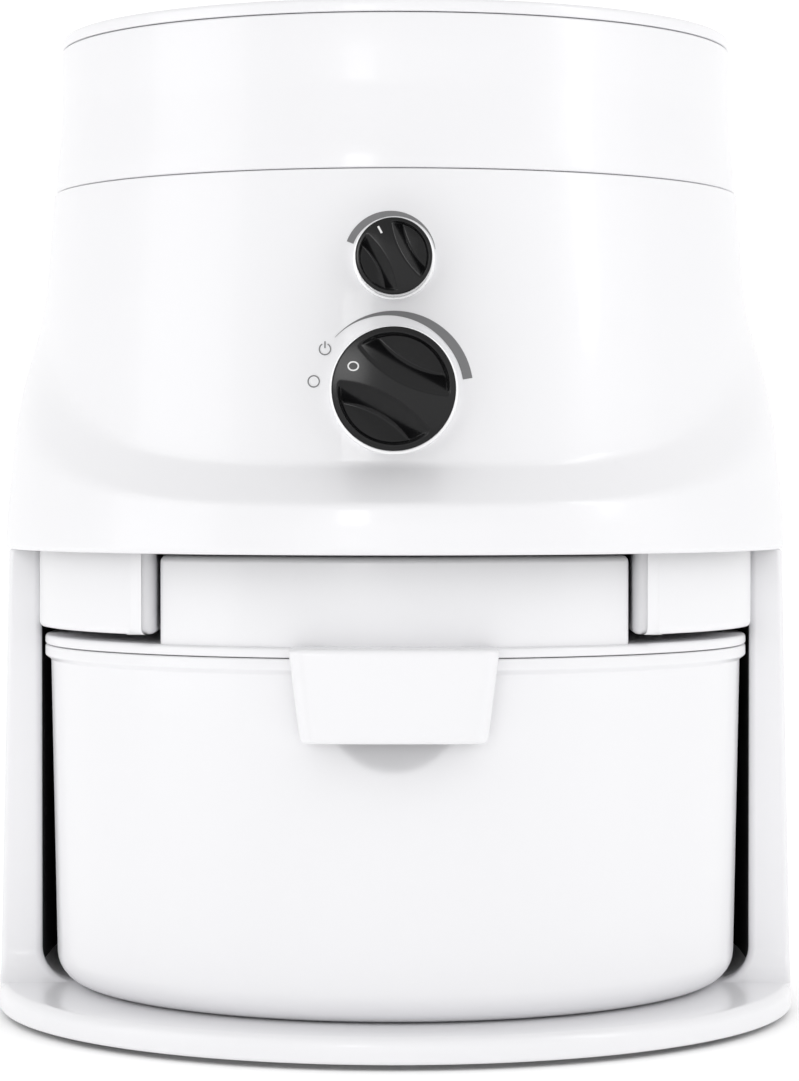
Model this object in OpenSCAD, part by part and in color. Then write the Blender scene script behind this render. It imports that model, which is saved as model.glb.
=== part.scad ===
/* [Body plan] */
// Half width of the base at the floor
base_r = 136; // [130:1:146]
// Straight run between the front and the rear half circles
stretch = 28; // [16:2:40]
// Wall of the moulded shells
wall = 3; // [2:0.25:3.5]
// How far the base leans in from the floor to its top
base_lean = 3.3; // [0:0.5:6]

/* [Heights] */
// Underside of the base rim above the floor
rim_z = 1.5; // [1:0.5:3]
// Top of the tray
tray_z = 10; // [8:0.5:13]
// Height of the bowl without its lid
bowl_h = 114.7; // [100:1:125]
// Height of the lid's raised middle above its flange
dome_h = 28.4; // [24:0.5:34]
// Height of the housing, from the skirt's edge to the hopper seam
housing_h = 119.9; // [118:0.5:130]
// Height of the hopper ring
ring_h = 48.8; // [40:1:70]
// Thickness of the hopper lid
lid_t = 5; // [4:0.5:7]

/* [Housing] */
// How far the skirt's edge lies inside the base
skirt_in = 2.5; // [1:0.25:5]
// How far the drum draws in from the skirt's edge to the ledge
drum_in = 9.5; // [7:0.5:12]
// How far the drum draws in from the ledge to its shoulder
shoulder_in = 3.9; // [2:0.1:5]
// How far the drum draws in from the shoulder to the hopper seam
seam_in = 3.2; // [2:0.1:4]
// How far the hopper draws in from the seam to its top edge
top_in = 2.7; // [2:0.1:4]
// Height of the ledge above the skirt's edge, in front
ledge_h = 27.5; // [20:1:34]
// How far the ledge drops where it leaves the drum
ledge_drop = 12; // [8:1:18]
// Tilt of the ledge
ledge_tilt = 13; // [8:1:14]

/* [Bay and bowl] */
// Thickness of the base's double wall round the bay
bay_in = 14.5; // [12:0.5:16]
// Thickness of the bay liner
liner_t = 1.5; // [1:0.25:2]
// Where the legs start, in front of the middle
leg_front = 24; // [10:1:40]
// Gap between the bowl's rim and the bay
rim_gap = 1.3; // [1:0.1:3]
// How far the rim stands out from the wall
bowl_lip = 2; // [1:0.5:4]
// Wall of the bowl
bowl_wall = 2.5; // [2:0.25:3]
// Draft of the bowl's wall
bowl_draft = 2.2; // [0:0.2:4]
// Corner radius of the bowl's bottom
bowl_corner = 10; // [6:1:16]
// Width of a guide block with its gaps, from the bay's side to the lid's raised middle
dome_in = 47; // [44:0.5:56]
// Side clearance between the raised middle and the guide blocks
block_gap = 1.5; // [1:0.25:3]
// Height of the guide blocks
block_h = 26.1; // [20:0.5:27]

/* [Handle] */
// Half width of the handle at its top
handle_top_w = 32.7; // [28:0.5:38]
// Half width of the handle at its lower edge
handle_low_w = 29; // [26:0.5:34]
// Height of the handle
handle_h = 29.5; // [24:0.5:36]
// How far the handle stands out from the bowl
handle_out = 13; // [11:0.5:15]
// Radius of the finger scoop
scoop_r = 40; // [34:1:44]

/* [Knobs] */
// Diameter of the motor speed knob
motor_knob_d = 23.6; // [20:0.2:26]
// Diameter of the feed rate knob
feed_knob_d = 38; // [34:0.5:42]
// Height of the motor speed knob above the skirt's edge
motor_knob_z = 91.5; // [88:0.5:97]
// Height of the feed rate knob above the skirt's edge
feed_knob_z = 50.9; // [49:0.5:54]
// How far the feed knob stands out
feed_knob_l = 15.7; // [12:0.1:20]
// How far the motor knob stands out
motor_knob_l = 14; // [10:0.5:16]
// Radius of the feed knob's shaft
feed_shaft_r = 4; // [3:0.25:4.5]
// Radius of the speed control's shaft
pot_shaft_r = 3; // [2:0.25:3.5]

/* [Feed drive] */
// Tooth size of the feed gears
gear_m = 1; // [1:0.05:1.1]
// Teeth of the pinion on the feed shaft
pinion_n = 16; // [16]
// Teeth of the idler gear
idler_n = 38; // [38]
// Face width of the feed gears
gear_w = 6; // [4:0.5:7]
// Thickness of the feed gate
gate_t = 3; // [2:0.25:3.5]
// Radius of the mill's eye
eye_r = 9.8; // [7:0.2:9.8]
// Knob turn from the start mark to full feed, in degrees
feed_turn = 141; // [141]

/* [Motor] */
// Radius of the motor's shaft
shaft_r = 4; // [3.5:0.25:4.25]
// Radius of the armature
arm_r = 20.5; // [18:0.5:22]
// Height of the armature and of the field core
core_h = 30; // [24:1:30]
// Side of the field core
core_w = 76; // [70:1:80]
// Radius of the cooling fan
fan_r = 34; // [28:1:38]

/* [Mill] */
// Outer radius of the milling chamber
case_r = 58; // [54:0.5:59]
// Height of the milling chamber
case_h = 22.5; // [22:0.5:24]
// Thickness of the chamber's floor, wall and top
case_t = 3; // [2.5:0.25:3.5]
// Radius of the milling heads
head_r = 48; // [44:0.5:50]
// Outer radius of the flour chute
chute_r = 15; // [12:0.5:16]

/* [Fits] */
// Gap between parts that lie beside each other
gap = 0.3; // [0.2:0.05:0.4]
// Running clearance of a shaft in its bore, on the radius
run = 0.05; // [0.02:0.01:0.09]
// Air between the bowl's lid and the chassis
slide_air = 1; // [0.6:0.1:2]

/* [Hidden] */
$fn = 96;
cut = 1;

skirt_r = base_r - skirt_in;
drum_r = skirt_r - drum_in;
shoulder_r = drum_r - shoulder_in;
seam_r = shoulder_r - seam_in;
top_r = seam_r - top_in;
bay_r = base_r - bay_in;
bowl_rim_r = bay_r - rim_gap;
dome_w = bay_r - dome_in;
front_y = -stretch / 2;
bowl_z = tray_z + gap;
rim_top = bowl_z + bowl_h;
lid_z = rim_top + gap;
flange_t = 3.3;
dome_top = lid_z + flange_t + dome_h;
chassis_z = dome_top + slide_air;
chassis_t = 3.5;
deck_z = chassis_z + chassis_t;
skirt_z = chassis_z - 0.4;
base_top = chassis_z - 0.8;
seam_z = skirt_z + housing_h;
ring_top = seam_z + ring_h;
lid_low = ring_top + gap;
ledge_z = skirt_z + ledge_h;
block_z = skirt_z - block_h;

liner_out = bay_r + liner_t;
bay_wall_in = liner_out + gap;
chassis_r = skirt_r - wall - 1.5;

// Half width of the drum at a height above the floor
shoulder_z = skirt_z + 82;
function drum_at(z) = z < shoulder_z
    ? drum_r + (shoulder_r - drum_r) * (z - skirt_z) / (shoulder_z - skirt_z)
    : shoulder_r + (seam_r - shoulder_r) * (z - shoulder_z) / (seam_z - shoulder_z);

// Half width of the base at a height above the floor
function base_at(z) = base_r - base_lean * (z - rim_z) / (base_top - rim_z);

// Knob faces: a flat pad stands just proud of the drum
motor_kz = skirt_z + motor_knob_z;
feed_kz = skirt_z + feed_knob_z;
motor_pad_r = motor_knob_d / 2 + 1.7;
feed_pad_r = feed_knob_d / 2 + 1.7;
pad_proud = 1.2;
motor_pad_y = front_y - drum_at(motor_kz) - pad_proud;
feed_pad_y = front_y - drum_at(feed_kz) - pad_proud;
bezel_t = 1.2;
motor_knob_y = motor_pad_y - bezel_t - gap;
feed_knob_y = feed_pad_y - bezel_t - gap;

// Rotor and mill, from the chassis upwards
axis_y = -5;
bearing_r = 11;
bearing_w = 7;
low_bearing_z = deck_z + 0.5;
comm_r = 10;
comm_h = 10;
comm_z = low_bearing_z + bearing_w + 1.5;
core_z = comm_z + comm_h + 3;
coil_h = 5.5;
core_top = core_z + core_h;
fan_z = core_top + coil_h + 1.2;
fan_h = 6.5;
case_z = seam_z - 44.5;
case_top = case_z + case_h;
top_bearing_z = case_z - 3;
head_z = case_z + case_t + 1.5;
head_t = 3;
tooth_h = 5;
stator_z = case_top - case_t - head_t;
chute_y = axis_y + case_r + chute_r;
chute_bore = chute_r - 2.5;

// Feed gate and its drive
gate_z = case_top + 0.4;
funnel_low = gate_z + gate_t + 0.4;
pinion_r = gear_m * pinion_n / 2;
idler_r = gear_m * idler_n / 2;
idler_z = feed_kz + pinion_r + idler_r;
rack_pitch_z = idler_z + idler_r;
gear_y = axis_y - case_r - 11;
bracket_t = 2;
bracket_y = gear_y + gear_w + 2;
gate_travel = pinion_r * feed_turn * PI / 180;

// Stadium plan: two circles joined by a straight run
module stadium(r, s = stretch) {
    translate([0, s / 2]) circle(r);
    translate([0, -s / 2]) circle(r);
    square([2 * r, s], center = true);
}
module slab(r, z, h) {
    translate([0, 0, z]) linear_extrude(h) stadium(r);
}
// A profile of (half width, height) carried round the stadium plan
module race(s = stretch) {
    translate([0, s / 2, 0]) rotate_extrude(angle = 180) children();
    translate([0, -s / 2, 0]) rotate([0, 0, 180]) rotate_extrude(angle = 180) children();
    for (side = [0, 1])
        mirror([side, 0, 0]) translate([0, s / 2, 0]) rotate([90, 0, 0]) linear_extrude(s) children();
}
// Box given by its lowest and highest corners
module block(low, high) {
    translate(low) cube(high - low);
}
// Ring or rod along Z
module ring(r, bore, z, h) {
    translate([0, 0, z]) difference() {
        cylinder(h = h, r = r);
        if (bore > 0) translate([0, 0, -cut]) cylinder(h = h + 2 * cut, r = bore);
    }
}
// Rod along Y from its front face
module rod_y(r, y, l) {
    translate([0, y, 0]) rotate([-90, 0, 0]) cylinder(h = l, r = r);
}
// Pan head screw standing up from its seat
module screw_up(r, l, head) {
    cylinder(h = l, r = r);
    translate([0, 0, -head]) difference() {
        cylinder(h = head, r = 1.9 * r);
        translate([0, 0, -cut]) cylinder(h = cut + head / 2, r = 0.8 * r, $fn = 6);
    }
}

// ---- base and bay ----

foot_r = 10;
foot_h = 3.5;
foot_x = 0.65 * base_r;
foot_y = 0.65 * base_r;
foot_screw_r = 1.5;
foot_head_z = 1.6;
leg_lip = 2.5;
liner_front = leg_lip - leg_front;

module at_feet() {
    for (x = [-foot_x, foot_x], y = [-foot_y, foot_y]) translate([x, y, 0]) children();
}

module base_frame() color("white") difference() {
    union() {
        difference() {
            race() polygon([
                [0, rim_z], [base_r - 1.5, rim_z], [base_r, rim_z + 1.5],
                [base_at(base_top - 1), base_top - 1], [base_at(base_top) - 1, base_top], [0, base_top]
            ]);
            // Bay, open to the front
            slab(bay_r, tray_z, base_top);
            block([-2 * base_r, -2 * base_r, tray_z], [2 * base_r, -leg_front, 2 * base_top]);
            intersection() {
                slab(bay_wall_in, tray_z, base_top);
                block([-base_r, liner_front, 0], [base_r, 2 * base_r, 2 * base_top]);
            }
            // Underside and the space in the double wall
            race() polygon([
                [0, rim_z - cut], [base_r - wall, rim_z - cut], [base_r - wall, tray_z - wall], [0, tray_z - wall]
            ]);
            intersection() {
                race() polygon([
                    [bay_wall_in + 2.4, tray_z - 2 * wall], [base_at(tray_z) - 2.6, tray_z - 2 * wall],
                    [base_at(base_top) - 2.6, base_top - wall], [bay_wall_in + 2.4, base_top - wall]
                ]);
                block([-base_r, liner_front + wall, 0], [base_r, 2 * base_r, 2 * base_top]);
            }
        }
        at_feet() ring(foot_r + 1, 0, foot_h, tray_z - wall - foot_h + cut);
    }
    at_feet() translate([0, 0, foot_h - cut]) cylinder(h = 5.5, r = foot_screw_r + 0.1);
}

module bay_liner() color([0.12, 0.12, 0.13]) intersection() {
    race() polygon([
        [bay_r, tray_z + gap], [liner_out, tray_z + gap], [liner_out, base_top], [bay_r, base_top]
    ]);
    block([-base_r, liner_front + gap, 0], [base_r, 2 * base_r, 2 * base_top]);
}

module rubber_feet() color([0.15, 0.15, 0.15]) at_feet() difference() {
    rotate_extrude() polygon([
        [foot_screw_r + 0.3, 0], [foot_r - 1, 0], [foot_r, 1], [foot_r - 0.5, foot_h], [foot_screw_r + 0.3, foot_h]
    ]);
    translate([0, 0, -cut]) cylinder(h = cut + foot_head_z, r = 2.2 * foot_screw_r);
}

module foot_screws() color("silver")
    at_feet() translate([0, 0, foot_head_z]) screw_up(foot_screw_r, 6, 1);

// ---- housing ----

skirt_edge = 1.5;
cone_rim_r = (drum_r + stretch / 2) / cos(ledge_tilt) - stretch / 2;
cone_fall = tan(atan(ledge_drop / (skirt_r - drum_r)) - ledge_tilt);
ledge_mid_z = ledge_z + (drum_r + stretch / 2) * tan(ledge_tilt);
cone_core_r = 60;
cone_far_r = 1.25 * base_r;

// Heights and half widths of the skirt above its edge
skirt_line = [
    [skirt_z + skirt_edge, skirt_r], [skirt_z + 17, skirt_r - 1.2], [skirt_z + 47, skirt_r - 4.1],
    [skirt_z + 61, skirt_r - 6.2], [skirt_z + 71, skirt_r - 9.1], [shoulder_z + 1, shoulder_r - 1]
];
function skirt_at(z) = lookup(z, skirt_line);

// Solid outer form of the housing, drawn in by an inset on every side
module housing_form(inset) {
    low = inset > 0 ? skirt_z - cut : skirt_z;
    edge = inset > 0 ? 0 : skirt_edge;
    function cone_z(r) = -cone_fall * (r - cone_rim_r) - 1.3 * inset;
    race() polygon([
        [0, low], [drum_r - inset, low], [drum_at(shoulder_z - 35) - inset, shoulder_z - 35],
        [shoulder_r - inset, shoulder_z], [seam_r - inset, seam_z - inset], [0, seam_z - inset]
    ]);
    intersection() {
        race() polygon(concat(
            [[0, low], [skirt_r - edge - inset, low]],
            [for (p = skirt_line) [p[1] - inset, p[0]]],
            [[0, shoulder_z + 1]]
        ));
        translate([0, 0, ledge_mid_z]) rotate([ledge_tilt, 0, 0]) race() polygon([
            [0, -cone_far_r], [cone_far_r, -cone_far_r], [cone_far_r, cone_z(cone_far_r)],
            [cone_core_r, cone_z(cone_core_r)], [0, cone_z(cone_core_r)]
        ]);
    }
}

deck_hole_r = 60;
pad_l = 8;
boss_r = 5;
boss_a = 40.5;
boss_reach = seam_r - wall - boss_r + 1;
boss_x = boss_reach * cos(boss_a);
boss_y = stretch / 2 + boss_reach * sin(boss_a);
screw_r = 1.5;
panel_x = 51;
panel_low = skirt_z + 27;
panel_high = skirt_z + 74;
panel_lip = 6;
panel_screw_x = panel_x + panel_lip / 2;
panel_screw_zs = [panel_low + 6, panel_high - 18];
screw_head_h = 1.8;
gland_z = deck_z + 10;
gland_r = 6;
gland_pad_r = 9;
rear_y = stretch / 2 + skirt_r;

function rear_at(x, r) = stretch / 2 + sqrt(r * r - x * x);
function panel_screw_y(z) = rear_at(panel_screw_x, skirt_at(z)) - screw_head_h - 0.6;

module at_bosses() {
    for (x = [-boss_x, boss_x], y = [-boss_y, boss_y]) translate([x, y, 0]) children();
}
// Each panel screw's seat is the origin, with +Y outwards
module at_panel_screws() {
    for (x = [-panel_screw_x, panel_screw_x], z = panel_screw_zs)
        translate([x, panel_screw_y(z), z]) children();
}

module main_housing() color("white") difference() {
    union() {
        difference() {
            housing_form(0);
            housing_form(wall);
        }
        translate([0, 0, motor_kz]) rod_y(motor_pad_r, motor_pad_y, pad_l);
        translate([0, 0, feed_kz]) rod_y(feed_pad_r, feed_pad_y, pad_l);
        translate([0, 0, gland_z]) rod_y(gland_pad_r, rear_y - pad_l, pad_l + 0.5);
        at_bosses() ring(boss_r, 0, deck_z, seam_z - wall - deck_z + cut);
    }
    translate([0, axis_y, seam_z - 2 * wall]) cylinder(h = 4 * wall, r = deck_hole_r);
    translate([0, 0, motor_kz]) rod_y(pot_shaft_r + 1, motor_pad_y - cut, 2 * pad_l);
    translate([0, 0, feed_kz]) rod_y(feed_shaft_r + run, feed_pad_y - cut, 2 * pad_l);
    translate([0, 0, gland_z]) rod_y(gland_r + 0.1, rear_y - 2 * pad_l, 3 * pad_l);
    block([-panel_x, 0, panel_low], [panel_x, 2 * base_r, panel_high]);
    at_bosses() ring(screw_r + 0.1, 0, deck_z - cut, 14);
    at_panel_screws() {
        rod_y(screw_r + 0.4, -base_r / 2, base_r);
        rod_y(3.3, 0, base_r);
    }
}

slot_n = 7;
slot_h = 3.2;
slot_step = (panel_high - panel_low - 8) / slot_n;

module back_panel() color("white") difference() {
    intersection() {
        difference() {
            housing_form(0);
            housing_form(wall + gap + 2);
        }
        block([-panel_x + gap, 0, panel_low + gap], [panel_x - gap, 2 * base_r, panel_high - gap]);
    }
    for (i = [0 : slot_n - 1])
        translate([0, 0, panel_low + 5.5 + i * slot_step])
            block([-panel_x + 14, 0, 0], [panel_x - 14, 2 * base_r, slot_h]);
}

module panel_clamps() color([0.2, 0.2, 0.2]) difference() {
    intersection() {
        difference() {
            housing_form(wall + gap);
            housing_form(wall + gap + 2);
        }
        for (side = [-1, 1])
            block([side * (panel_x + 3.1) - 3.1, 0, panel_low], [side * (panel_x + 3.1) + 3.1, 2 * base_r, panel_high]);
    }
    at_panel_screws() rod_y(screw_r + 0.1, -base_r / 2, base_r);
}

module panel_screws() color("silver") at_panel_screws() rotate([90, 0, 0]) screw_up(screw_r, 5, screw_head_h);

block_in_x = dome_w + block_gap;
block_out_x = bay_r - 1.9;
block_r = bay_r + 1.7;
block_back = stretch / 2;

module guide_block(side) color("white") difference() {
    intersection() {
        slab(block_r, block_z, chassis_z - block_z);
        mirror([side < 0 ? 1 : 0, 0, 0])
            block([block_in_x, -base_r * 2, block_z], [block_out_x, block_back, chassis_z]);
    }
    intersection() {
        slab(block_r - wall, block_z + wall, chassis_z - block_z);
        mirror([side < 0 ? 1 : 0, 0, 0])
            block([block_in_x + wall, -base_r * 2, block_z], [block_out_x - wall, block_back - wall, seam_z]);
    }
}
module guide_block_left() guide_block(-1);
module guide_block_right() guide_block(1);

gland_flange_r = 8.4;
gland_bore_r = 3.6;
// The gland stands out as far behind as the feed knob does in front
gland_end = feed_knob_l - feed_knob_y;
module cord_gland() color([0.1, 0.1, 0.1]) translate([0, 0, gland_z]) difference() {
    union() {
        rod_y(gland_r, rear_y - pad_l - 1, gland_end - rear_y + pad_l + 1);
        rod_y(gland_flange_r, rear_y + 0.5, 2);
        rod_y(gland_flange_r, rear_y - pad_l - 1 - 1.7, 1.7);
    }
    rod_y(gland_bore_r, rear_y - 2 * pad_l, 4 * pad_l);
}

// ---- hopper ----

ledge_low = ring_top - 14.3;
ledge_t = 3.5;
flange_r = top_r - wall - gap;
funnel_flange_z = ledge_low + ledge_t + gap;
funnel_flange_t = 2.5;
funnel_top_r = top_r - 18.2;
funnel_neck_z = funnel_low + 3;
funnel_t = 2.4;
neck_r = eye_r + 2;

module hopper_ring() color("white") race() polygon([
    [seam_r - 9, seam_z + gap], [seam_r - 0.5, seam_z + gap], [seam_r - 0.3, seam_z + gap + 0.4],
    [seam_r - 1, seam_z + 7], [top_r, ring_top - 8], [top_r, ring_top - 0.5], [top_r - 0.5, ring_top],
    [top_r - wall, ring_top], [top_r - wall, ledge_low + ledge_t], [top_r - wall - 4, ledge_low + ledge_t],
    [top_r - wall - 4, ledge_low + 1], [top_r - wall, ledge_low - 3], [seam_r - 1 - wall, seam_z + 9],
    [seam_r - wall - 0.5, seam_z + 3.3], [seam_r - 9, seam_z + 3.3]
]);

module hopper_funnel() color([0.93, 0.93, 0.92]) difference() {
    union() {
        slab(flange_r, funnel_flange_z, funnel_flange_t);
        translate([0, axis_y, 0]) rotate_extrude() polygon([
            [0, funnel_low], [neck_r + funnel_t, funnel_low], [neck_r + funnel_t, funnel_neck_z],
            [funnel_top_r + funnel_t, funnel_flange_z + 0.5], [0, funnel_flange_z + 0.5]
        ]);
    }
    translate([0, axis_y, 0]) rotate_extrude() polygon([
        [0, funnel_low - cut], [neck_r, funnel_low - cut], [neck_r, funnel_neck_z],
        [funnel_top_r, funnel_flange_z], [funnel_top_r, funnel_flange_z + 2 * funnel_flange_t],
        [0, funnel_flange_z + 2 * funnel_flange_t]
    ]);
}

funnel_slope = (funnel_top_r - neck_r) / (funnel_flange_z - funnel_neck_z);
guard_r = neck_r + 12;
guard_z = funnel_neck_z + (guard_r + gap * funnel_slope - neck_r) / funnel_slope;
guard_t = 2.5;
module finger_guard() color([0.75, 0.75, 0.75]) translate([0, axis_y, 0]) {
    ring(guard_r, guard_r - 2.5, guard_z, guard_t);
    for (i = [-2 : 2]) intersection() {
        ring(guard_r - 1, 0, guard_z, guard_t);
        block([i * guard_r / 2.6 - 0.9, -guard_r, guard_z], [i * guard_r / 2.6 + 0.9, guard_r, guard_z + guard_t]);
    }
}

lid_plate = 2.6;
rib_out = top_r - wall - gap;
module hopper_lid() color("white") race() polygon([
    [0, lid_low + lid_t - lid_plate], [rib_out - 2.2, lid_low + lid_t - lid_plate - 0.6],
    [rib_out - 2.2, ring_top - 4], [rib_out, ring_top - 4], [rib_out, lid_low],
    [top_r - 0.4, lid_low], [top_r, lid_low + 0.4], [top_r, lid_low + lid_t - 2.6],
    [top_r - 0.8, lid_low + lid_t - 1.2], [top_r - 2.6, lid_low + lid_t - 0.6], [0, lid_low + lid_t]
]);

// ---- bowl ----

wall_top_r = bowl_rim_r - bowl_lip;
wall_low_r = wall_top_r - bowl_draft;
lip_t = 3.5;
corner_n = 6;
function corner(r, z, a) = [r - bowl_corner * (1 - cos(a)), z + bowl_corner * (1 - sin(a))];
function bowl_profile(inset) = concat(
    [[0, bowl_z + inset]],
    [for (i = [corner_n : -1 : 0]) corner(wall_low_r, bowl_z, 90 * i / corner_n) + [-inset, inset]]
);
handle_top = lid_z + flange_t + 0.4;
handle_low = handle_top - handle_h;
handle_y = front_y - wall_top_r - handle_out;
handle_t = 3.2;
scoop_y = front_y - wall_top_r - 0.85 * scoop_r;
scoop_z = handle_low + 0.28 * scoop_r;
lid_lip_h = 5;
scoop_top = lid_z - lid_lip_h - 0.8 - bowl_wall;

module handle_form(inset, back) translate([0, back, 0]) rotate([90, 0, 0])
    linear_extrude(back - handle_y - inset) polygon([
        [-handle_low_w + inset, handle_low], [handle_low_w - inset, handle_low],
        [handle_top_w - inset, handle_top - inset], [-handle_top_w + inset, handle_top - inset]
    ]);

module flour_bowl() color("white") difference() {
    union() {
        race() polygon(concat(bowl_profile(0), [
            [wall_top_r, rim_top - lip_t - 1.5], [bowl_rim_r, rim_top - lip_t], [bowl_rim_r, rim_top], [0, rim_top]
        ]));
        difference() {
            handle_form(0, front_y - wall_top_r + 3);
            difference() {
                handle_form(handle_t, front_y - wall_top_r + 4);
                block([-base_r, -2 * base_r, rim_top - wall], [base_r, 0, seam_z]);
            }
            block([-handle_low_w + handle_t, handle_y + handle_t, handle_low - cut],
                [handle_low_w - handle_t, front_y, handle_low + cut]);
            slab(bowl_rim_r + gap, rim_top, dome_h);
        }
    }
    difference() {
        race() polygon(concat(bowl_profile(bowl_wall), [
            [wall_top_r - bowl_wall, rim_top + cut], [0, rim_top + cut]
        ]));
        intersection() {
            translate([0, scoop_y, scoop_z]) sphere(scoop_r + bowl_wall);
            block([-base_r, -2 * base_r, 0], [base_r, 0, scoop_top + bowl_wall]);
        }
    }
    intersection() {
        translate([0, scoop_y, scoop_z]) sphere(scoop_r);
        union() {
            block([-base_r, handle_y + handle_t, 0], [base_r, 0, scoop_top]);
            block([-base_r, -2 * base_r, 0], [base_r, 0, handle_low]);
        }
    }
}

dome_r = wall_top_r + 0.3;
dome_t = 2.5;
lid_lip_r = wall_top_r - bowl_wall - 0.5;
gasket_r = wall_top_r - 0.6;
gasket_w = 1.6;
gasket_t = 1.5;
tray_half = 42;
tray_front = -78;
tray_back = 14;
tray_d = 10;
tray_floor = 2;

module bowl_lid() color("white") difference() {
    union() {
        difference() {
            union() {
                slab(bowl_rim_r, lid_z, flange_t);
                intersection() {
                    slab(dome_r, lid_z, dome_top - lid_z);
                    block([-dome_w, -2 * base_r, lid_z], [dome_w, 2 * base_r, dome_top]);
                }
                slab(lid_lip_r, lid_z - lid_lip_h, lid_lip_h + cut);
            }
            difference() {
                slab(lid_lip_r - 2.2, lid_z - lid_lip_h - cut, dome_top - lid_z + lid_lip_h + cut - dome_t);
                for (side = [-1, 1])
                    block([side * (dome_w + base_r) - base_r - dome_t, -2 * base_r, lid_z],
                        [side * (dome_w + base_r) + base_r + dome_t, 2 * base_r, dome_top]);
            }
        }
        block([-tray_half - 2, tray_front - 2, dome_top - tray_d - tray_floor],
            [tray_half + 2, tray_back + 2, dome_top - cut]);
    }
    block([-tray_half, tray_front, dome_top - tray_d], [tray_half, tray_back, dome_top + cut]);
    for (i = [-3 : 3])
        translate([i * tray_half / 3.6, 0, 0])
            block([-3.5, tray_front + 5, dome_top - 2 * tray_d], [3.5, tray_back - 5, dome_top]);
    ring_groove();
    translate([0, chute_y, dome_top - 2 * dome_t]) cylinder(h = 4 * dome_t, r = chute_bore);
}
module ring_groove(spare = 0) race() polygon([
    [gasket_r - gasket_w, rim_top], [gasket_r, rim_top],
    [gasket_r, lid_z + gasket_t - spare], [gasket_r - gasket_w, lid_z + gasket_t - spare]
]);
module bowl_gasket() color([0.6, 0.6, 0.6]) ring_groove(0.1);

module filter_foam() color([0.25, 0.25, 0.27])
    block([-tray_half + gap, tray_front + gap, dome_top - tray_d],
        [tray_half - gap, tray_back - gap, dome_top - 4.8]);

module filter_cover() color("white") difference() {
    block([-tray_half + gap, tray_front + gap, dome_top - 4.5], [tray_half - gap, tray_back - gap, dome_top - 1.5]);
    for (i = [-4 : 4])
        translate([i * tray_half / 4.8, 0, 0])
            block([-1.6, tray_front + 6, dome_top - tray_d], [1.6, tray_back - 6, dome_top]);
}

cup_r = 26;
cup_z = lid_z - 24;
cup_slot_n = 6;
module separator_cup() color([0.85, 0.85, 0.86]) translate([0, chute_y, 0]) difference() {
    ring(cup_r, 0, cup_z, dome_top - dome_t - gap - cup_z);
    ring(cup_r - 2, 0, cup_z + 2, dome_top);
    for (i = [0 : cup_slot_n - 1]) rotate([0, 0, (i + 0.5) * 360 / cup_slot_n])
        block([0, -6, cup_z + 8], [2 * cup_r, 6, lid_z - 6]);
}

// ---- chassis and motor ----

seat_r = bearing_r + 3;
seat_z = deck_z - 1;
post_r = 4;
core_post = 0.42 * core_w;
case_post_x = 0.8 * case_r;
case_post_y = 0.48 * case_r;

module at_core_posts() {
    for (x = [-core_post, core_post], y = [-core_post, core_post]) translate([x, axis_y + y, 0]) children();
}
module at_case_posts() {
    for (x = [-case_post_x, case_post_x], y = [-case_post_y, case_post_y]) translate([x, axis_y + y, 0]) children();
}

module chassis_plate() color([0.2, 0.2, 0.22]) difference() {
    union() {
        slab(chassis_r, chassis_z, chassis_t);
        difference() {
            slab(chassis_r - 1, base_top, chassis_z - base_top + cut);
            slab(bay_wall_in + 1, base_top - cut, chassis_z);
            block([-base_r, -2 * base_r, 0], [base_r, 4 - leg_front, chassis_z]);
        }
        translate([0, axis_y, 0]) ring(seat_r, 0, deck_z - cut, low_bearing_z + bearing_w + cut - deck_z);
    }
    translate([0, axis_y, low_bearing_z]) cylinder(h = bearing_w + cut, r = bearing_r + run);
    translate([0, axis_y, chassis_z + 1.5]) cylinder(h = chassis_t, r = shaft_r + 2);
    translate([0, chute_y, chassis_z - cut]) cylinder(h = chassis_t + 2 * cut, r = chute_r + gap);
    at_bosses() ring(screw_r + 0.3, 0, chassis_z - cut, chassis_t + 2 * cut);
}

module housing_screws() color("silver") at_bosses() translate([0, 0, chassis_z]) screw_up(screw_r, 15, 1.8);

module bearing(z) translate([0, axis_y, 0]) {
    ring(bearing_r, bearing_r - 2, z, bearing_w);
    ring(bearing_r - 2, shaft_r + 1.6, z + 0.8, bearing_w - 1.6);
    ring(shaft_r + 1.6, shaft_r + run, z, bearing_w);
}
module lower_bearing() color("silver") bearing(low_bearing_z);
module upper_bearing() color("silver") bearing(top_bearing_z);

module chassis_posts() color("silver") {
    at_core_posts() ring(post_r, 1.6, deck_z, core_z - deck_z);
    at_case_posts() ring(post_r, 1.6, deck_z, case_z - deck_z);
}

module field_core() color([0.45, 0.46, 0.48]) difference() {
    translate([0, axis_y, core_z]) linear_extrude(core_h) difference() {
        square(core_w, center = true);
        circle(arm_r + 0.7);
        for (side = [-1, 1]) translate([side * (arm_r + 8), 0]) square([9, 1.5 * arm_r], center = true);
    }
    at_core_posts() cylinder(h = 2 * seam_z, r = 2);
}

module field_coils() color([0.72, 0.35, 0.16]) translate([0, axis_y, 0])
    for (side = [0, 1], z = [core_z - coil_h, core_top])
        mirror([side, 0, 0]) rotate([0, 0, -62]) translate([0, 0, z]) rotate_extrude(angle = 124)
            translate([arm_r + 2, 0.3]) square([10, coil_h - 0.5]);

module motor_shaft() color("silver") translate([0, axis_y, low_bearing_z - 1.5])
    cylinder(h = head_z + head_t + 4 - low_bearing_z + 1.5, r = shaft_r);

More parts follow.
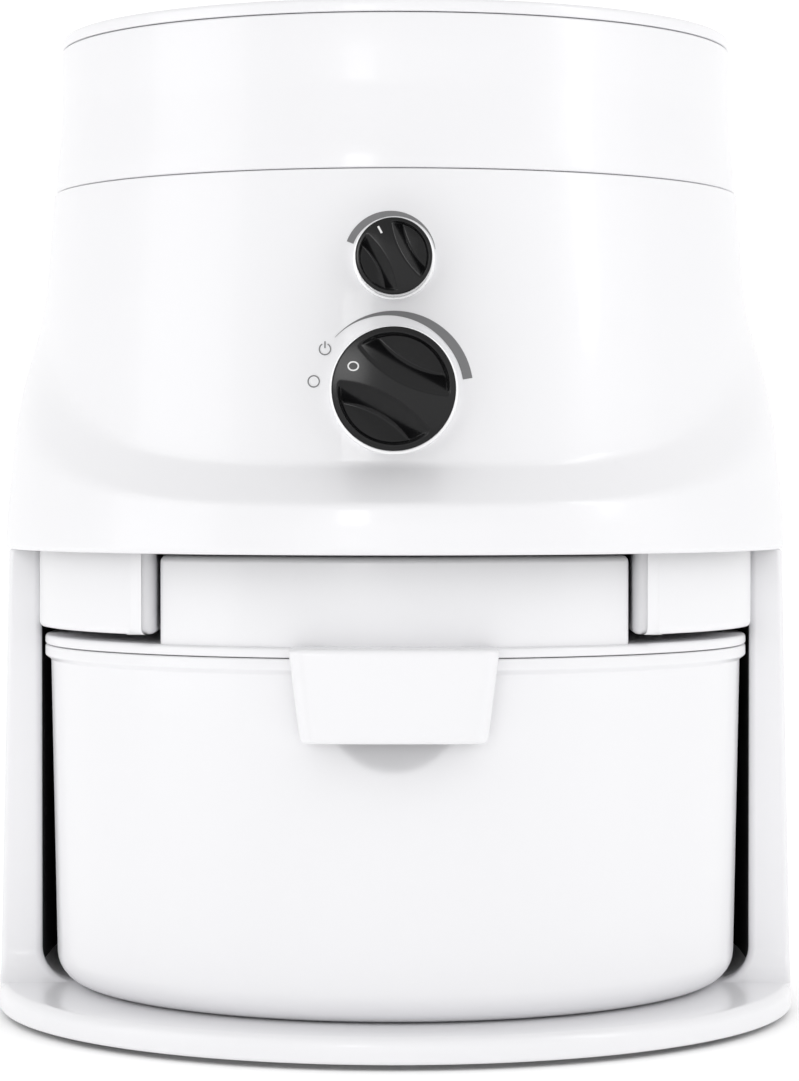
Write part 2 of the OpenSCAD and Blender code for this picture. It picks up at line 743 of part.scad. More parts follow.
arm_slots = 12;
module armature() color([0.5, 0.48, 0.46]) translate([0, axis_y, core_z]) linear_extrude(core_h) difference() {
    circle(arm_r);
    circle(shaft_r);
    for (i = [0 : arm_slots - 1]) rotate(i * 360 / arm_slots) translate([arm_r - 3.5, -0.8]) square([4.5, 1.6]);
}
module armature_winding() color([0.72, 0.35, 0.16]) translate([0, axis_y, 0])
    for (z = [core_z - 2.5, core_top]) ring(arm_r - 4, shaft_r, z, 2.5);

comm_bars = 24;
module commutator() color([0.75, 0.45, 0.25]) translate([0, axis_y, comm_z]) linear_extrude(comm_h) difference() {
    circle(comm_r);
    circle(shaft_r);
    for (i = [0 : comm_bars - 1]) rotate(i * 360 / comm_bars) translate([comm_r - 1, -0.3]) square([2, 0.6]);
}

brush_z = comm_z + 1;
brush_h = 5;
brush_w = 6;
holder_in = comm_r + 2;
holder_out = arm_r + 12.5;
module brush_holders() color([0.75, 0.6, 0.3]) for (side = [0, 1]) mirror([side, 0, 0]) translate([0, axis_y, 0])
    difference() {
        union() {
            block([holder_in + 3.5, -brush_w / 2 - 1.2, brush_z - 1], [holder_out, brush_w / 2 + 1.2, brush_z + brush_h + 1]);
            block([holder_out - 8, -brush_w / 2 - 1.2, deck_z], [holder_out, brush_w / 2 + 1.2, brush_z]);
        }
        block([0, -brush_w / 2 - 0.1, brush_z - 0.1], [holder_out - 2, brush_w / 2 + 0.1, brush_z + brush_h + 0.1]);
    }
module carbon_brushes() color([0.1, 0.1, 0.1]) for (side = [0, 1]) mirror([side, 0, 0])
    translate([0, axis_y, 0])
        block([comm_r + 0.3, -brush_w / 2, brush_z], [holder_out - 6, brush_w / 2, brush_z + brush_h]);

blade_n = 9;
module cooling_fan() color([0.2, 0.2, 0.22]) translate([0, axis_y, 0]) {
    ring(fan_r, shaft_r, fan_z + fan_h - 1.5, 1.5);
    ring(shaft_r + 4, shaft_r, fan_z, fan_h);
    for (i = [0 : blade_n - 1]) rotate([0, 0, i * 360 / blade_n])
        block([shaft_r + 10, -0.8, fan_z], [fan_r - 0.5, 0.8, fan_z + fan_h - 1]);
}

// ---- mill ----

case_split = case_z + 14;
gasket_h = 1;
case_in = case_r - case_t;
ear_r = 5.5;
ear_reach = case_r + 3.4;
spout_w = 11;
spout_t = 2.5;
spout_low = case_z + case_t;
spout_top = case_split - case_t;
spout_end = chute_y - chute_r - gap;

module at_ears() {
    for (a = [45 : 90 : 315]) translate([ear_reach * cos(a), axis_y + ear_reach * sin(a), 0]) children();
}
module case_ring(z, h) {
    translate([0, axis_y, 0]) ring(case_r, case_in, z, h);
}

module mill_case_lower() color([0.82, 0.83, 0.84]) difference() {
    union() {
        translate([0, axis_y, 0]) {
            ring(case_r, 0, case_z, case_split - case_z);
            ring(seat_r, 0, top_bearing_z + 0.4, case_z - top_bearing_z);
        }
        block([-spout_w - spout_t, axis_y + case_in - 2, case_z], [spout_w + spout_t, spout_end, case_split]);
        at_ears() ring(ear_r, 0, case_split - 8, 8);
    }
    translate([0, axis_y, 0]) {
        ring(case_in, 0, case_z + case_t, case_h);
        ring(bearing_r + run, 0, top_bearing_z - cut, bearing_w + cut);
        ring(shaft_r + 2, 0, case_z, 2 * case_t);
    }
    block([-spout_w, axis_y, spout_low], [spout_w, spout_end + cut, spout_top]);
    at_ears() ring(screw_r + 0.1, 0, case_split - 7, 8);
}

module case_gasket() color([0.3, 0.3, 0.3]) case_ring(case_split, gasket_h);

rail_t = 3;
gate_half = eye_r + 5;
module mill_case_upper() color([0.82, 0.83, 0.84]) difference() {
    union() {
        translate([0, axis_y, 0]) ring(case_r, 0, case_split + gasket_h, case_top - case_split - gasket_h);
        at_ears() ring(ear_r, 0, case_split + gasket_h, 5);
        for (side = [-1, 1]) translate([0, axis_y + side * (gate_half + gap + rail_t / 2), case_top - cut])
            block([-34, -rail_t / 2, 0], [side < 0 ? -4 : 44, rail_t / 2, gate_t + cut]);
    }
    translate([0, axis_y, 0]) {
        ring(case_in, 0, case_z, case_top - case_t - case_z);
        ring(eye_r, 0, case_z, 2 * case_h);
    }
    at_ears() ring(screw_r + 0.3, 0, case_split, 8);
}

module case_screws() color("silver") at_ears() translate([0, 0, case_split + gasket_h + 5])
    rotate([180, 0, 0]) screw_up(screw_r, 11, 1.8);

tooth_r = 1.6;
module tooth_ring(r, n, z) {
    for (i = [0 : n - 1]) rotate([0, 0, i * 360 / n]) translate([r, 0, z]) cylinder(h = tooth_h + 2 + cut, r = tooth_r);
}
module rotating_head() color("silver") translate([0, axis_y, 0]) {
    ring(head_r, shaft_r, head_z, head_t);
    for (k = [0 : 2]) tooth_ring(head_r - 6 - 10 * k, 24 - 6 * k, head_z + head_t - cut);
}
module stationary_head() color([0.7, 0.7, 0.72]) translate([0, axis_y, 0]) {
    ring(head_r, eye_r + 1, stator_z, head_t);
    for (k = [0 : 1]) tooth_ring(head_r - 11 - 10 * k, 21 - 6 * k, stator_z - tooth_h - 2);
}
module head_nut() color([0.6, 0.55, 0.4]) translate([0, axis_y, head_z + head_t]) difference() {
    cylinder(h = 4.5, r = 7, $fn = 6);
    translate([0, 0, -cut]) cylinder(h = 5 + cut, r = shaft_r);
}

chute_low = chassis_z - 0.1;
module flour_chute() color([0.9, 0.9, 0.9]) difference() {
    union() {
        translate([0, chute_y, 0]) ring(chute_r, 0, chute_low, case_split - chute_low);
        translate([0, chute_y, 0]) ring(chute_r + 3, 0, deck_z, 2);
        block([-spout_w - spout_t, spout_end + gap, case_z], [spout_w + spout_t, chute_y, case_split]);
    }
    translate([0, chute_y, 0]) ring(chute_bore, 0, chute_low - cut, spout_top - chute_low + cut);
    block([-spout_w, spout_end, spout_low], [spout_w, chute_y, spout_top]);
}
module chute_seal() color([0.3, 0.3, 0.3]) translate([0, chute_y, 0])
    ring(chute_r + 4, chute_bore, chassis_z - slide_air + gap, slide_air - gap - 0.1);

// ---- feed drive ----

backlash = 0.3 * gear_m;
addendum = 0.8 * gear_m;
dedendum = 1.25 * gear_m;
pressure_a = 20;
function involute(a) = tan(a) * 180 / PI - a;
// Half angle of a tooth at a radius
function tooth_half(n, r) = let (rp = gear_m * n / 2, rb = rp * cos(pressure_a))
    (PI / 2 * gear_m - backlash) / 2 / rp * 180 / PI + involute(pressure_a) - involute(acos(min(1, rb / r)));
function gear_points(n, phase) = let (rp = gear_m * n / 2, rb = rp * cos(pressure_a), ra = rp + addendum,
    rr = rp - dedendum, rs = max(rb, rr), steps = [0, 0.3, 0.65, 1]) [
    for (i = [0 : n - 1]) let (a0 = phase + i * 360 / n) each [
        [rr, a0 - tooth_half(n, rs)], for (t = steps) [rs + t * (ra - rs), a0 - tooth_half(n, rs + t * (ra - rs))],
        for (t = [1, 0.65, 0.3, 0]) [rs + t * (ra - rs), a0 + tooth_half(n, rs + t * (ra - rs))],
        [rr, a0 + tooth_half(n, rs)]
    ]];
module gear(n, phase, bore) translate([0, gear_y + gear_w, 0]) rotate([90, 0, 0]) linear_extrude(gear_w) difference() {
    polygon([for (p = gear_points(n, phase)) p[0] * [cos(p[1]), sin(p[1])]]);
    if (bore > 0) circle(bore);
}

module feed_shaft() color("silver") translate([0, 0, feed_kz]) {
    rod_y(feed_shaft_r, feed_knob_y - feed_knob_l / 2, bracket_y + bracket_t + 1 - feed_knob_y + feed_knob_l / 2);
}
module feed_pinion() color([0.95, 0.95, 0.9]) translate([0, 0, feed_kz]) gear(pinion_n, 90, feed_shaft_r);

pin_r = 3;
module idler_pin() color("silver") translate([0, 0, idler_z])
    rod_y(pin_r, gear_y - 2, bracket_y + bracket_t - gear_y + 2);
module idler_gear() color([0.95, 0.95, 0.9]) translate([0, 0, idler_z])
    gear(idler_n, 270 + 180 / idler_n, pin_r + run);

bracket_w = 30;
module gear_bracket() color([0.6, 0.6, 0.62]) difference() {
    union() {
        block([-bracket_w, bracket_y, deck_z], [bracket_w, bracket_y + bracket_t, idler_z + 10]);
        block([-bracket_w, bracket_y, deck_z], [bracket_w, bracket_y + 14, deck_z + 2]);
    }
    translate([0, 0, feed_kz]) rod_y(feed_shaft_r + run, bracket_y - cut, 3 * bracket_t);
    translate([0, 0, idler_z]) rod_y(pin_r, bracket_y - cut, 3 * bracket_t);
}

rack_root = rack_pitch_z + dedendum;
bar_top = max(gate_z + gate_t, rack_root + 2);
arm_low = min(gate_z, rack_root);
gate_hole_x = gate_travel;
rack_pitch = PI * gear_m;
rack_first = -3;
rack_last = 9;
arm_x = gate_hole_x - 2;
module feed_gate() color([0.88, 0.88, 0.85]) difference() {
    union() {
        block([-eye_r - 2, axis_y - gate_half, gate_z], [gate_hole_x + eye_r + 4, axis_y + gate_half, gate_z + gate_t]);
        block([arm_x, gear_y + gear_w + 0.5, gate_z], [arm_x + 13, axis_y, gate_z + gate_t]);
        block([arm_x, gear_y, arm_low], [arm_x + 13, gear_y + gear_w + 3, bar_top]);
        block([(rack_first - 0.5) * rack_pitch, gear_y, rack_root], [arm_x + 13, gear_y + gear_w, bar_top]);
        translate([0, gear_y + gear_w, 0]) rotate([90, 0, 0]) linear_extrude(gear_w) rack_teeth();
    }
    translate([gate_hole_x, axis_y, gate_z - cut]) cylinder(h = gate_t + 2 * cut, r = eye_r);
}
module rack_teeth() {
    half = (PI / 2 * gear_m - backlash) / 2;
    tip = half - addendum * tan(pressure_a);
    root = half + dedendum * tan(pressure_a);
    for (i = [rack_first : rack_last]) translate([i * rack_pitch, rack_pitch_z]) polygon([
        [-root, dedendum + 0.5], [-root, dedendum], [-tip, -addendum], [tip, -addendum], [root, dedendum],
        [root, dedendum + 0.5]
    ]);
}

cam_r = 14;
cam_t = 3;
cam_y = -100;
cam_notch = 25;
module switch_cam() color([0.95, 0.95, 0.9]) translate([0, cam_y, feed_kz]) rotate([-90, 0, 0]) difference() {
    cylinder(h = cam_t, r = cam_r);
    translate([0, 0, -cut]) cylinder(h = cam_t + 2 * cut, r = feed_shaft_r);
    rotate([0, 0, 90 - cam_notch]) translate([cam_r, 0, -cut]) cylinder(h = cam_t + 2 * cut, r = 2.5);
}
plunger_r = 1.5;
switch_top = feed_kz - cam_r - 3.2;
switch_h = 13;
module power_switch() color([0.12, 0.12, 0.12]) {
    block([-10, cam_y - 2, switch_top - switch_h], [10, cam_y + cam_t + 5, switch_top]);
    translate([0, cam_y + cam_t / 2, switch_top - cut]) cylinder(h = 3.2 - gap + cut, r = plunger_r);
}
module switch_bracket() color([0.6, 0.6, 0.62]) union() {
    block([-12, cam_y - 2, deck_z], [12, cam_y + cam_t + 9, deck_z + 1.5]);
    block([-12, cam_y + cam_t + 5, deck_z], [12, cam_y + cam_t + 6.5, switch_top]);
    block([-12, cam_y - 2, switch_top - switch_h - 1.5], [12, cam_y + cam_t + 6, switch_top - switch_h]);
}

pot_r = 8.5;
pot_l = 9;
pot_y = motor_pad_y + pad_l;
board_half = 28;
board_t = 1.6;
module speed_pot() color([0.35, 0.4, 0.38]) translate([0, 0, motor_kz]) difference() {
    rod_y(pot_r, pot_y, pot_l);
    rod_y(pot_shaft_r + run, pot_y - cut, pot_l - 2 + cut);
}
module pot_shaft() color("silver") translate([0, 0, motor_kz])
    rod_y(pot_shaft_r, motor_knob_y - motor_knob_l / 2, pot_y + pot_l - 2.5 - motor_knob_y + motor_knob_l / 2);
module control_board() color([0.1, 0.35, 0.2]) translate([0, pot_y + pot_l, motor_kz]) {
    block([-board_half, 0, -13], [board_half, board_t, 13]);
    // Heat sink and capacitor
    for (i = [0 : 3]) block([-24 + 5 * i, board_t - 0.1, -10], [-22 + 5 * i, 12, 6]);
    translate([14, 0, 0]) rod_y(6, board_t - 0.1, 16);
}

term_x = 14 - boss_x + boss_r + 6.5;
term_y = boss_y - 15;
module terminal_block() color([0.9, 0.9, 0.85]) translate([term_x, term_y, deck_z]) difference() {
    block([-14, -8, 0], [14, 8, 13]);
    for (i = [-1 : 1]) translate([8 * i, 0, 5]) cylinder(h = 9, r = 2.5);
}

// ---- knobs ----

// Round knob on the Y axis: a rim, and a grip bar between two scooped lobes
mark_a = 151;
module knob(d, y, l, shaft, bar, depth, turn) difference() {
    translate([0, y - l, 0]) rotate([-90, 0, 0]) cylinder(h = l, r = d / 2);
    rod_y(shaft, y - l / 2, l);
    for (side = [-1, 1]) intersection() {
        rod_y(d / 2 - 0.06 * d, y - l - cut, depth + cut);
        rotate([0, -turn, 0]) block([-d, y - l - cut, side * (bar + d) / 2 - d / 2],
            [d, y - l + depth, side * (bar + d) / 2 + d / 2]);
    }
}
module motor_knob() color([0.08, 0.08, 0.08]) translate([0, 0, motor_kz])
    knob(motor_knob_d, motor_knob_y, motor_knob_l, pot_shaft_r, 5, 6, 118);
module feed_knob() color([0.08, 0.08, 0.08]) translate([0, 0, feed_kz])
    knob(feed_knob_d, feed_knob_y, feed_knob_l, feed_shaft_r, 8, 7, mark_a);
module bezel(d, shaft, y, z) translate([0, 0, z]) difference() {
    rod_y(d / 2 + 0.8, y - bezel_t, bezel_t);
    rod_y(shaft + 2, y - 2 * bezel_t, 3 * bezel_t);
}
module knob_bezels() color("silver") {
    bezel(motor_knob_d, pot_shaft_r, motor_pad_y, motor_kz);
    bezel(feed_knob_d, feed_shaft_r, feed_pad_y, feed_kz);
}

// ---- nodes ----

base_frame();
bay_liner();
rubber_feet();
foot_screws();
main_housing();
back_panel();
panel_clamps();
panel_screws();
guide_block_left();
guide_block_right();
cord_gland();
hopper_ring();
hopper_funnel();
finger_guard();
hopper_lid();
flour_bowl();
bowl_lid();
bowl_gasket();
filter_foam();
filter_cover();
separator_cup();
chassis_plate();
housing_screws();
lower_bearing();
upper_bearing();
chassis_posts();
field_core();
field_coils();
motor_shaft();
armature();
armature_winding();
commutator();
brush_holders();
carbon_brushes();
cooling_fan();
mill_case_lower();
case_gasket();
mill_case_upper();
case_screws();
rotating_head();
stationary_head();
head_nut();
flour_chute();
chute_seal();
feed_shaft();
feed_pinion();
idler_pin();
idler_gear();
gear_bracket();
feed_gate();
switch_cam();
power_switch();
switch_bracket();
speed_pot();
pot_shaft();
control_board();
terminal_block();
motor_knob();
feed_knob();
knob_bezels();
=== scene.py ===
import math

import bmesh
import bpy
import numpy as np
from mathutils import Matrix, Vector


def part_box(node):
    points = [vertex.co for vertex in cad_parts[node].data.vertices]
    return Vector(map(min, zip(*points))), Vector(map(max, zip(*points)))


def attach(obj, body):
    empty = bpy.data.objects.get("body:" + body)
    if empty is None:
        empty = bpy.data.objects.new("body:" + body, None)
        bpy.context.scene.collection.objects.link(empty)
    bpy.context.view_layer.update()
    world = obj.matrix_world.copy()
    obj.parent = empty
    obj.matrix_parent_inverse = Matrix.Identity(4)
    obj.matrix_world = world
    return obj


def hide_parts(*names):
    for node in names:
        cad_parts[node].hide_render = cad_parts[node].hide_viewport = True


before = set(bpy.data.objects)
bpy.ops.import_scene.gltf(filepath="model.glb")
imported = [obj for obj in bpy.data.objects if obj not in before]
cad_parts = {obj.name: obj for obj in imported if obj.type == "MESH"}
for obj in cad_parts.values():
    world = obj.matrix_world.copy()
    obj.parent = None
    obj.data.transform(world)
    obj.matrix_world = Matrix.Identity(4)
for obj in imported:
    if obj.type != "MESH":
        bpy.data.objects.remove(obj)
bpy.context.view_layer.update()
MM = 0.001


# ---------------------------------------------------------------- sizes from the frame, in mm

def low(node, axis):
    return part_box(node)[0][axis] / MM


def high(node, axis):
    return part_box(node)[1][axis] / MM


def middle(node, axis):
    return (low(node, axis) + high(node, axis)) / 2


X, Y, Z = 0, 1, 2
STRETCH = (high("base_frame", Y) - low("base_frame", Y)) - (high("base_frame", X) - low("base_frame", X))
FRONT_Y = -STRETCH / 2
WALL = 3.0

BASE_R = high("base_frame", X)
BASE_LOW = low("base_frame", Z)
BASE_TOP = high("base_frame", Z)
BASE_LEAN = 3.3
TRAY_Z = 10.0
BAY_R = -low("bay_liner", X) - 1.5
LEG_FRONT = -24.0

SKIRT_Z = low("main_housing", Z)
SKIRT_R = high("main_housing", X)
SEAM_Z = high("main_housing", Z)
DRUM_R = 124.0
SHOULDER_R = 120.1
SHOULDER_Z = SKIRT_Z + 82.0
SEAM_R = 116.9

RING_TOP = high("hopper_ring", Z)
TOP_R = high("hopper_lid", X)
LID_LOW = RING_TOP + 0.3
LID_TOP = high("hopper_lid", Z)

BOWL_LOW = low("flour_bowl", Z)
BOWL_R = high("flour_bowl", X)
RIM_TOP = low("bowl_lid", Z) + 4.7
LID_Z = RIM_TOP + 0.3
DOME_TOP = high("bowl_lid", Z)
DOME_W = 74.5

GAP = 0.3
BEZEL_T = 1.2
MOTOR_Z = middle("motor_knob", Z)
MOTOR_D = high("motor_knob", X) * 2
MOTOR_FACE_Y = low("motor_knob", Y)
MOTOR_BACK_Y = high("motor_knob", Y)
FEED_Z = middle("feed_knob", Z)
FEED_D = high("feed_knob", X) * 2
FEED_FACE_Y = low("feed_knob", Y)
FEED_BACK_Y = high("feed_knob", Y)


# ---------------------------------------------------------------- mesh helpers

def smooth_step(t):
    """3 t^2 - 2 t^3 on t held between 0 and 1."""
    t = np.clip(t, 0.0, 1.0)
    return t * t * (3.0 - 2.0 * t)


def arc(cx, cy, radius, a0, a1, n):
    """n + 1 points of a circle's arc from angle a0 to a1, in degrees."""
    a = np.radians(np.linspace(a0, a1, n + 1))
    return np.column_stack([cx + radius * np.cos(a), cy + radius * np.sin(a)])


def rounded(points, radii, steps=5):
    """A polyline whose corners are replaced by arcs: each corner's arc is tangent to both of its sides."""
    points = np.array(points, float)
    out = [points[:1]]
    for before, corner, after, radius in zip(points[:-2], points[1:-1], points[2:], radii):
        a = (before - corner) / np.linalg.norm(before - corner)
        b = (after - corner) / np.linalg.norm(after - corner)
        half = math.acos(np.clip(a @ b, -1, 1)) / 2
        if radius <= 0 or half > math.radians(89):
            out.append(corner[None])
            continue
        reach = radius / math.tan(half)
        centre = corner + (a + b) / np.linalg.norm(a + b) * radius / math.sin(half)
        p, q = corner + a * reach - centre, corner + b * reach - centre
        turn = math.atan2(p[0] * q[1] - p[1] * q[0], p @ q)
        start = math.atan2(p[1], p[0])
        angles = start + turn * np.linspace(0, 1, steps + 1)
        out.append(centre + radius * np.column_stack([np.cos(angles), np.sin(angles)]))
    out.append(points[-1:])
    return np.vstack(out)


def densify(points, step):
    """The same polyline with points added so that no side is longer than step."""
    out = [points[:1]]
    for a, b in zip(points[:-1], points[1:]):
        n = max(1, int(np.ceil(np.linalg.norm(b - a) / step)))
        t = np.linspace(0, 1, n + 1)[1:, None]
        out.append(a + (b - a) * t)
    return np.vstack(out)


def grid_faces(rows, columns, closed_rows=False, closed_columns=False):
    """Quads of a rows by columns grid of points, as index arrays."""
    i = np.arange(rows if closed_rows else rows - 1)
    j = np.arange(columns if closed_columns else columns - 1)
    i, j = np.meshgrid(i, j, indexing="ij")
    i2, j2 = (i + 1) % rows, (j + 1) % columns
    return np.stack([i * columns + j, i * columns + j2, i2 * columns + j2, i2 * columns + j], -1).reshape(-1, 4)


def soften(mesh, sharp=35.0):
    """Shades a mesh smoothly, but for edges that turn by more than the sharp angle in degrees."""
    mesh.shade_smooth()
    mesh.set_sharp_from_angle(angle=math.radians(sharp))


class Surface:
    """Grids and caps, gathered as points in mm and made one mesh object."""

    def __init__(self):
        self.points, self.faces, self.count = [], [], 0

    def grid(self, points, closed_rows=False, closed_columns=False):
        """Adds a grid of points, shape (rows, columns, 3)."""
        rows, columns = points.shape[:2]
        faces = grid_faces(rows, columns, closed_rows, closed_columns) + self.count
        self.points.append(points.reshape(-1, 3))
        self.faces += faces.tolist()
        self.count += rows * columns
        return self

    def cap(self, loop):
        """Adds one flat face round a loop of points."""
        self.points.append(np.asarray(loop, float))
        self.faces.append(list(range(self.count, self.count + len(loop))))
        self.count += len(loop)
        return self

    def make(self, name, flip=False, sharp=35.0):
        """Merges doubles, turns the faces outwards, or inwards if flipped, and shades up to the sharp angle."""
        mesh = bpy.data.meshes.new(name)
        mesh.from_pydata((np.vstack(self.points) * MM).tolist(), [], self.faces)
        work = bmesh.new()
        work.from_mesh(mesh)
        bmesh.ops.remove_doubles(work, verts=work.verts, dist=0.002 * MM)
        bmesh.ops.dissolve_degenerate(work, edges=work.edges, dist=0.001 * MM)
        bmesh.ops.recalc_face_normals(work, faces=work.faces)
        if flip:
            bmesh.ops.reverse_faces(work, faces=work.faces)
        work.to_mesh(mesh)
        work.free()
        soften(mesh, sharp)
        piece = bpy.data.objects.new(name, mesh)
        bpy.context.scene.collection.objects.link(piece)
        return piece


ARC_STEPS = 96


def plan_columns(steps=ARC_STEPS):
    """Angles round the stadium plan, and each one's centre on Y: two half circles joined by straight runs."""
    rear = np.linspace(0, math.pi, steps + 1)
    front = np.linspace(math.pi, 2 * math.pi, steps + 1)
    angles = np.concatenate([rear, front])
    centres = np.concatenate([np.full(steps + 1, STRETCH / 2), np.full(steps + 1, -STRETCH / 2)])
    return angles, centres


def carry(profile, steps=ARC_STEPS):
    """A profile of (half width, height) carried round the stadium plan: x = r cos a, y = c + r sin a."""
    angles, centres = plan_columns(steps)
    r, z = profile[:, :1], profile[:, 1:]
    return np.stack([r * np.cos(angles), centres + r * np.sin(angles), z + 0 * angles], -1)


def race_shell(name, profile, closed=True):
    """A solid of the stadium plan from a closed profile loop, or from one that starts and ends on the axis."""
    return Surface().grid(carry(np.asarray(profile, float)), closed_rows=closed, closed_columns=True).make(name)


def loop_offset(loop, distance):
    """A closed plan loop moved inwards along its own normals by a distance."""
    ahead, behind = np.roll(loop, -1, 0), np.roll(loop, 1, 0)
    tangent = ahead - behind
    tangent /= np.maximum(np.linalg.norm(tangent, axis=1, keepdims=True), 1e-9)
    return loop + distance * np.column_stack([-tangent[:, 1], tangent[:, 0]])


def tower(surface, loop, levels):
    """A plan loop, anticlockwise, raised through levels of (height, inset), with flat caps on both ends."""
    rows = [np.column_stack([loop_offset(loop, inset), np.full(len(loop), z)]) for z, inset in levels]
    surface.grid(np.array(rows), closed_columns=True)
    surface.cap(rows[0])
    surface.cap(rows[-1])
    return surface


def edge_levels(z, radius, upwards, steps=5):
    """Levels of a rounded edge that ends at height z: a quarter circle of the radius."""
    a = np.radians(np.linspace(0, 90, steps + 1))
    inset = radius * (1 - np.cos(a))
    rise = radius * np.sin(a)
    if upwards:
        return list(zip(z - radius + rise, inset))
    return list(zip(z + radius - rise, inset))[::-1]


# ---------------------------------------------------------------- forms of the mill

def drum_radius(z):
    """Half width of the drum: two straight leans that meet at the shoulder."""
    return np.interp(z, [SKIRT_Z, SHOULDER_Z, SEAM_Z], [DRUM_R, SHOULDER_R, SEAM_R])


def skirt_radius(z):
    """Half width of the skirt: it leans in a little from its edge to the ledge."""
    return np.interp(z, [SKIRT_Z, SKIRT_Z + 10, SKIRT_Z + 47, SKIRT_Z + 90],
                     [SKIRT_R, SKIRT_R - 0.3, SKIRT_R - 4.1, SKIRT_R - 7.0])


LEDGE_TOP_Z = SKIRT_Z + 27.8
LEDGE_LOW_Z = SKIRT_Z + 15.4
LEDGE_TOP_RISE = 66.0
LEDGE_LOW_RISE = 46.0
LEDGE_SPREAD = 1.35


def ledge_heights(angles):
    """Heights of the ledge's upper and lower edges round the plan. With c = 1 + sin a, which is 0 in front,
    each is its front height plus its rise times a smooth step of c / spread."""
    lift = smooth_step((1 + np.sin(angles)) / LEDGE_SPREAD)
    return LEDGE_TOP_Z + LEDGE_TOP_RISE * lift, LEDGE_LOW_Z + LEDGE_LOW_RISE * lift


def soft_ramp(t, soft):
    """0 below 0, t between 0 and 1, 1 above 1, with both corners rounded by parabolas of half width soft."""
    def hinge(s):
        return np.where(s < -soft, 0.0, np.where(s > soft, s, (s + soft) ** 2 / (4 * soft)))
    return hinge(t) - hinge(t - 1)


def housing_radius(z, angles):
    """Half width of the housing: the drum above the ledge, the skirt below it, and a ramp between them
    that is crisp in front and a soft shoulder at the sides."""
    top, bottom = ledge_heights(angles)
    softness = 0.1 + 0.36 * smooth_step((1 + np.sin(angles)) / 1.1)
    share = soft_ramp((top - z) / (top - bottom), softness)
    drum, skirt = drum_radius(z), skirt_radius(z)
    return drum + (skirt - drum) * share


def make_housing():
    """The housing's outer skin on a grid of plan angle and height. Its rows are gathered at the ledge, whose
    height changes round the plan, so each column has its own heights."""
    angles, centres = plan_columns(150)
    top, bottom = ledge_heights(angles)
    edge, seam_edge = 1.6, 0.5
    low_z, high_z = SKIRT_Z + edge, SEAM_Z - seam_edge
    below = np.linspace(0, 1, 9)[:-1, None] * (bottom - 5 - low_z) + low_z
    across = np.linspace(0, 1, 34)[:-1, None] * (top - bottom + 10) + bottom - 5
    above = np.linspace(0, 1, 22)[:, None] * (high_z - top - 5) + top + 5
    z = np.vstack([below, across, above])
    r = housing_radius(z, angles)
    a = np.radians(np.linspace(-90, 0, 6))[:-1, None]
    edge_z = low_z + edge * np.sin(a) + 0 * angles
    edge_r = r[:1] - edge * (1 - np.cos(a))
    b = np.radians(np.linspace(0, 90, 5))[1:, None]
    top_z = high_z + seam_edge * np.sin(b) + 0 * angles
    top_r = r[-1:] - seam_edge * (1 - np.cos(b))
    inner_z = np.array([SEAM_Z, SEAM_Z - WALL, SEAM_Z - WALL])[:, None] + 0 * angles
    inner_r = np.array([SEAM_R - 14, SEAM_R - 14, SEAM_R - WALL])[:, None] + 0 * angles
    back_z = np.linspace(1, 0, 24)[:, None] * (SEAM_Z - 2 * WALL - SKIRT_Z) + SKIRT_Z
    back_r = housing_radius(back_z + 1.5, angles) - WALL
    z = np.vstack([edge_z, z, top_z, inner_z, back_z + 0 * angles])
    r = np.vstack([edge_r, r, top_r, inner_r, back_r])
    points = np.stack([r * np.cos(angles), centres + r * np.sin(angles), z], -1)
    return Surface().grid(points, closed_rows=True, closed_columns=True).make("housing_shell", sharp=50)


def front_y(x, z, proud=0.0):
    """Y of the housing's front skin at x and z: y = c - sqrt(R(z)^2 - x^2)."""
    return FRONT_Y - np.sqrt((drum_radius(z) + proud) ** 2 - x ** 2)


def cut_with(piece, cutter, operation, name):
    """A new object: piece with the cutter's space taken out (DIFFERENCE), added (UNION) or kept (INTERSECT)."""
    modifier = piece.modifiers.new("cut", "BOOLEAN")
    modifier.operation, modifier.object, modifier.solver = operation, cutter, "EXACT"
    bpy.context.view_layer.update()
    graph = bpy.context.evaluated_depsgraph_get()
    mesh = bpy.data.meshes.new_from_object(piece.evaluated_get(graph))
    piece.modifiers.clear()
    result = bpy.data.objects.new(name, mesh)
    mesh.name = name
    bpy.context.scene.collection.objects.link(result)
    return result


def drop(*pieces):
    """Removes helper objects."""
    for piece in pieces:
        bpy.data.objects.remove(piece)


def prism_y(surface, outline, y0, y1):
    """An outline of (x, z) points carried straight along Y between two depths."""
    rows = [np.column_stack([outline[:, 0], np.full(len(outline), y), outline[:, 1]]) for y in (y0, y1)]
    surface.grid(np.array(rows), closed_columns=True)
    surface.cap(rows[0])
    surface.cap(rows[1])
    return surface


def round_rect(x0, z0, x1, z1, radius, steps=6):
    """Closed outline of a rectangle with round corners, anticlockwise."""
    return np.vstack([
        arc(x1 - radius, z0 + radius, radius, -90, 0, steps), arc(x1 - radius, z1 - radius, radius, 0, 90, steps),
        arc(x0 + radius, z1 - radius, radius, 90, 180, steps), arc(x0 + radius, z0 + radius, radius, 180, 270, steps),
    ])


def circle_y(x, z, radius, steps=48):
    """Closed round outline in the XZ plane."""
    return arc(x, z, radius, 0, 360, steps)[:-1]


def spin_y(profile, x, z, steps=96):
    """A profile of (radius, y) spun about the Y line through x, z."""
    a = np.linspace(0, 2 * math.pi, steps, endpoint=False)
    r, y = profile[:, :1], profile[:, 1:]
    return np.stack([x + r * np.cos(a), y + 0 * a, z + r * np.sin(a)], -1)


# ---------------------------------------------------------------- housing, panel and what is on them

PANEL_X = high("back_panel", X)
PANEL_LOW = low("back_panel", Z)
PANEL_HIGH = high("back_panel", Z)
GLAND_Z = middle("cord_gland", Z)


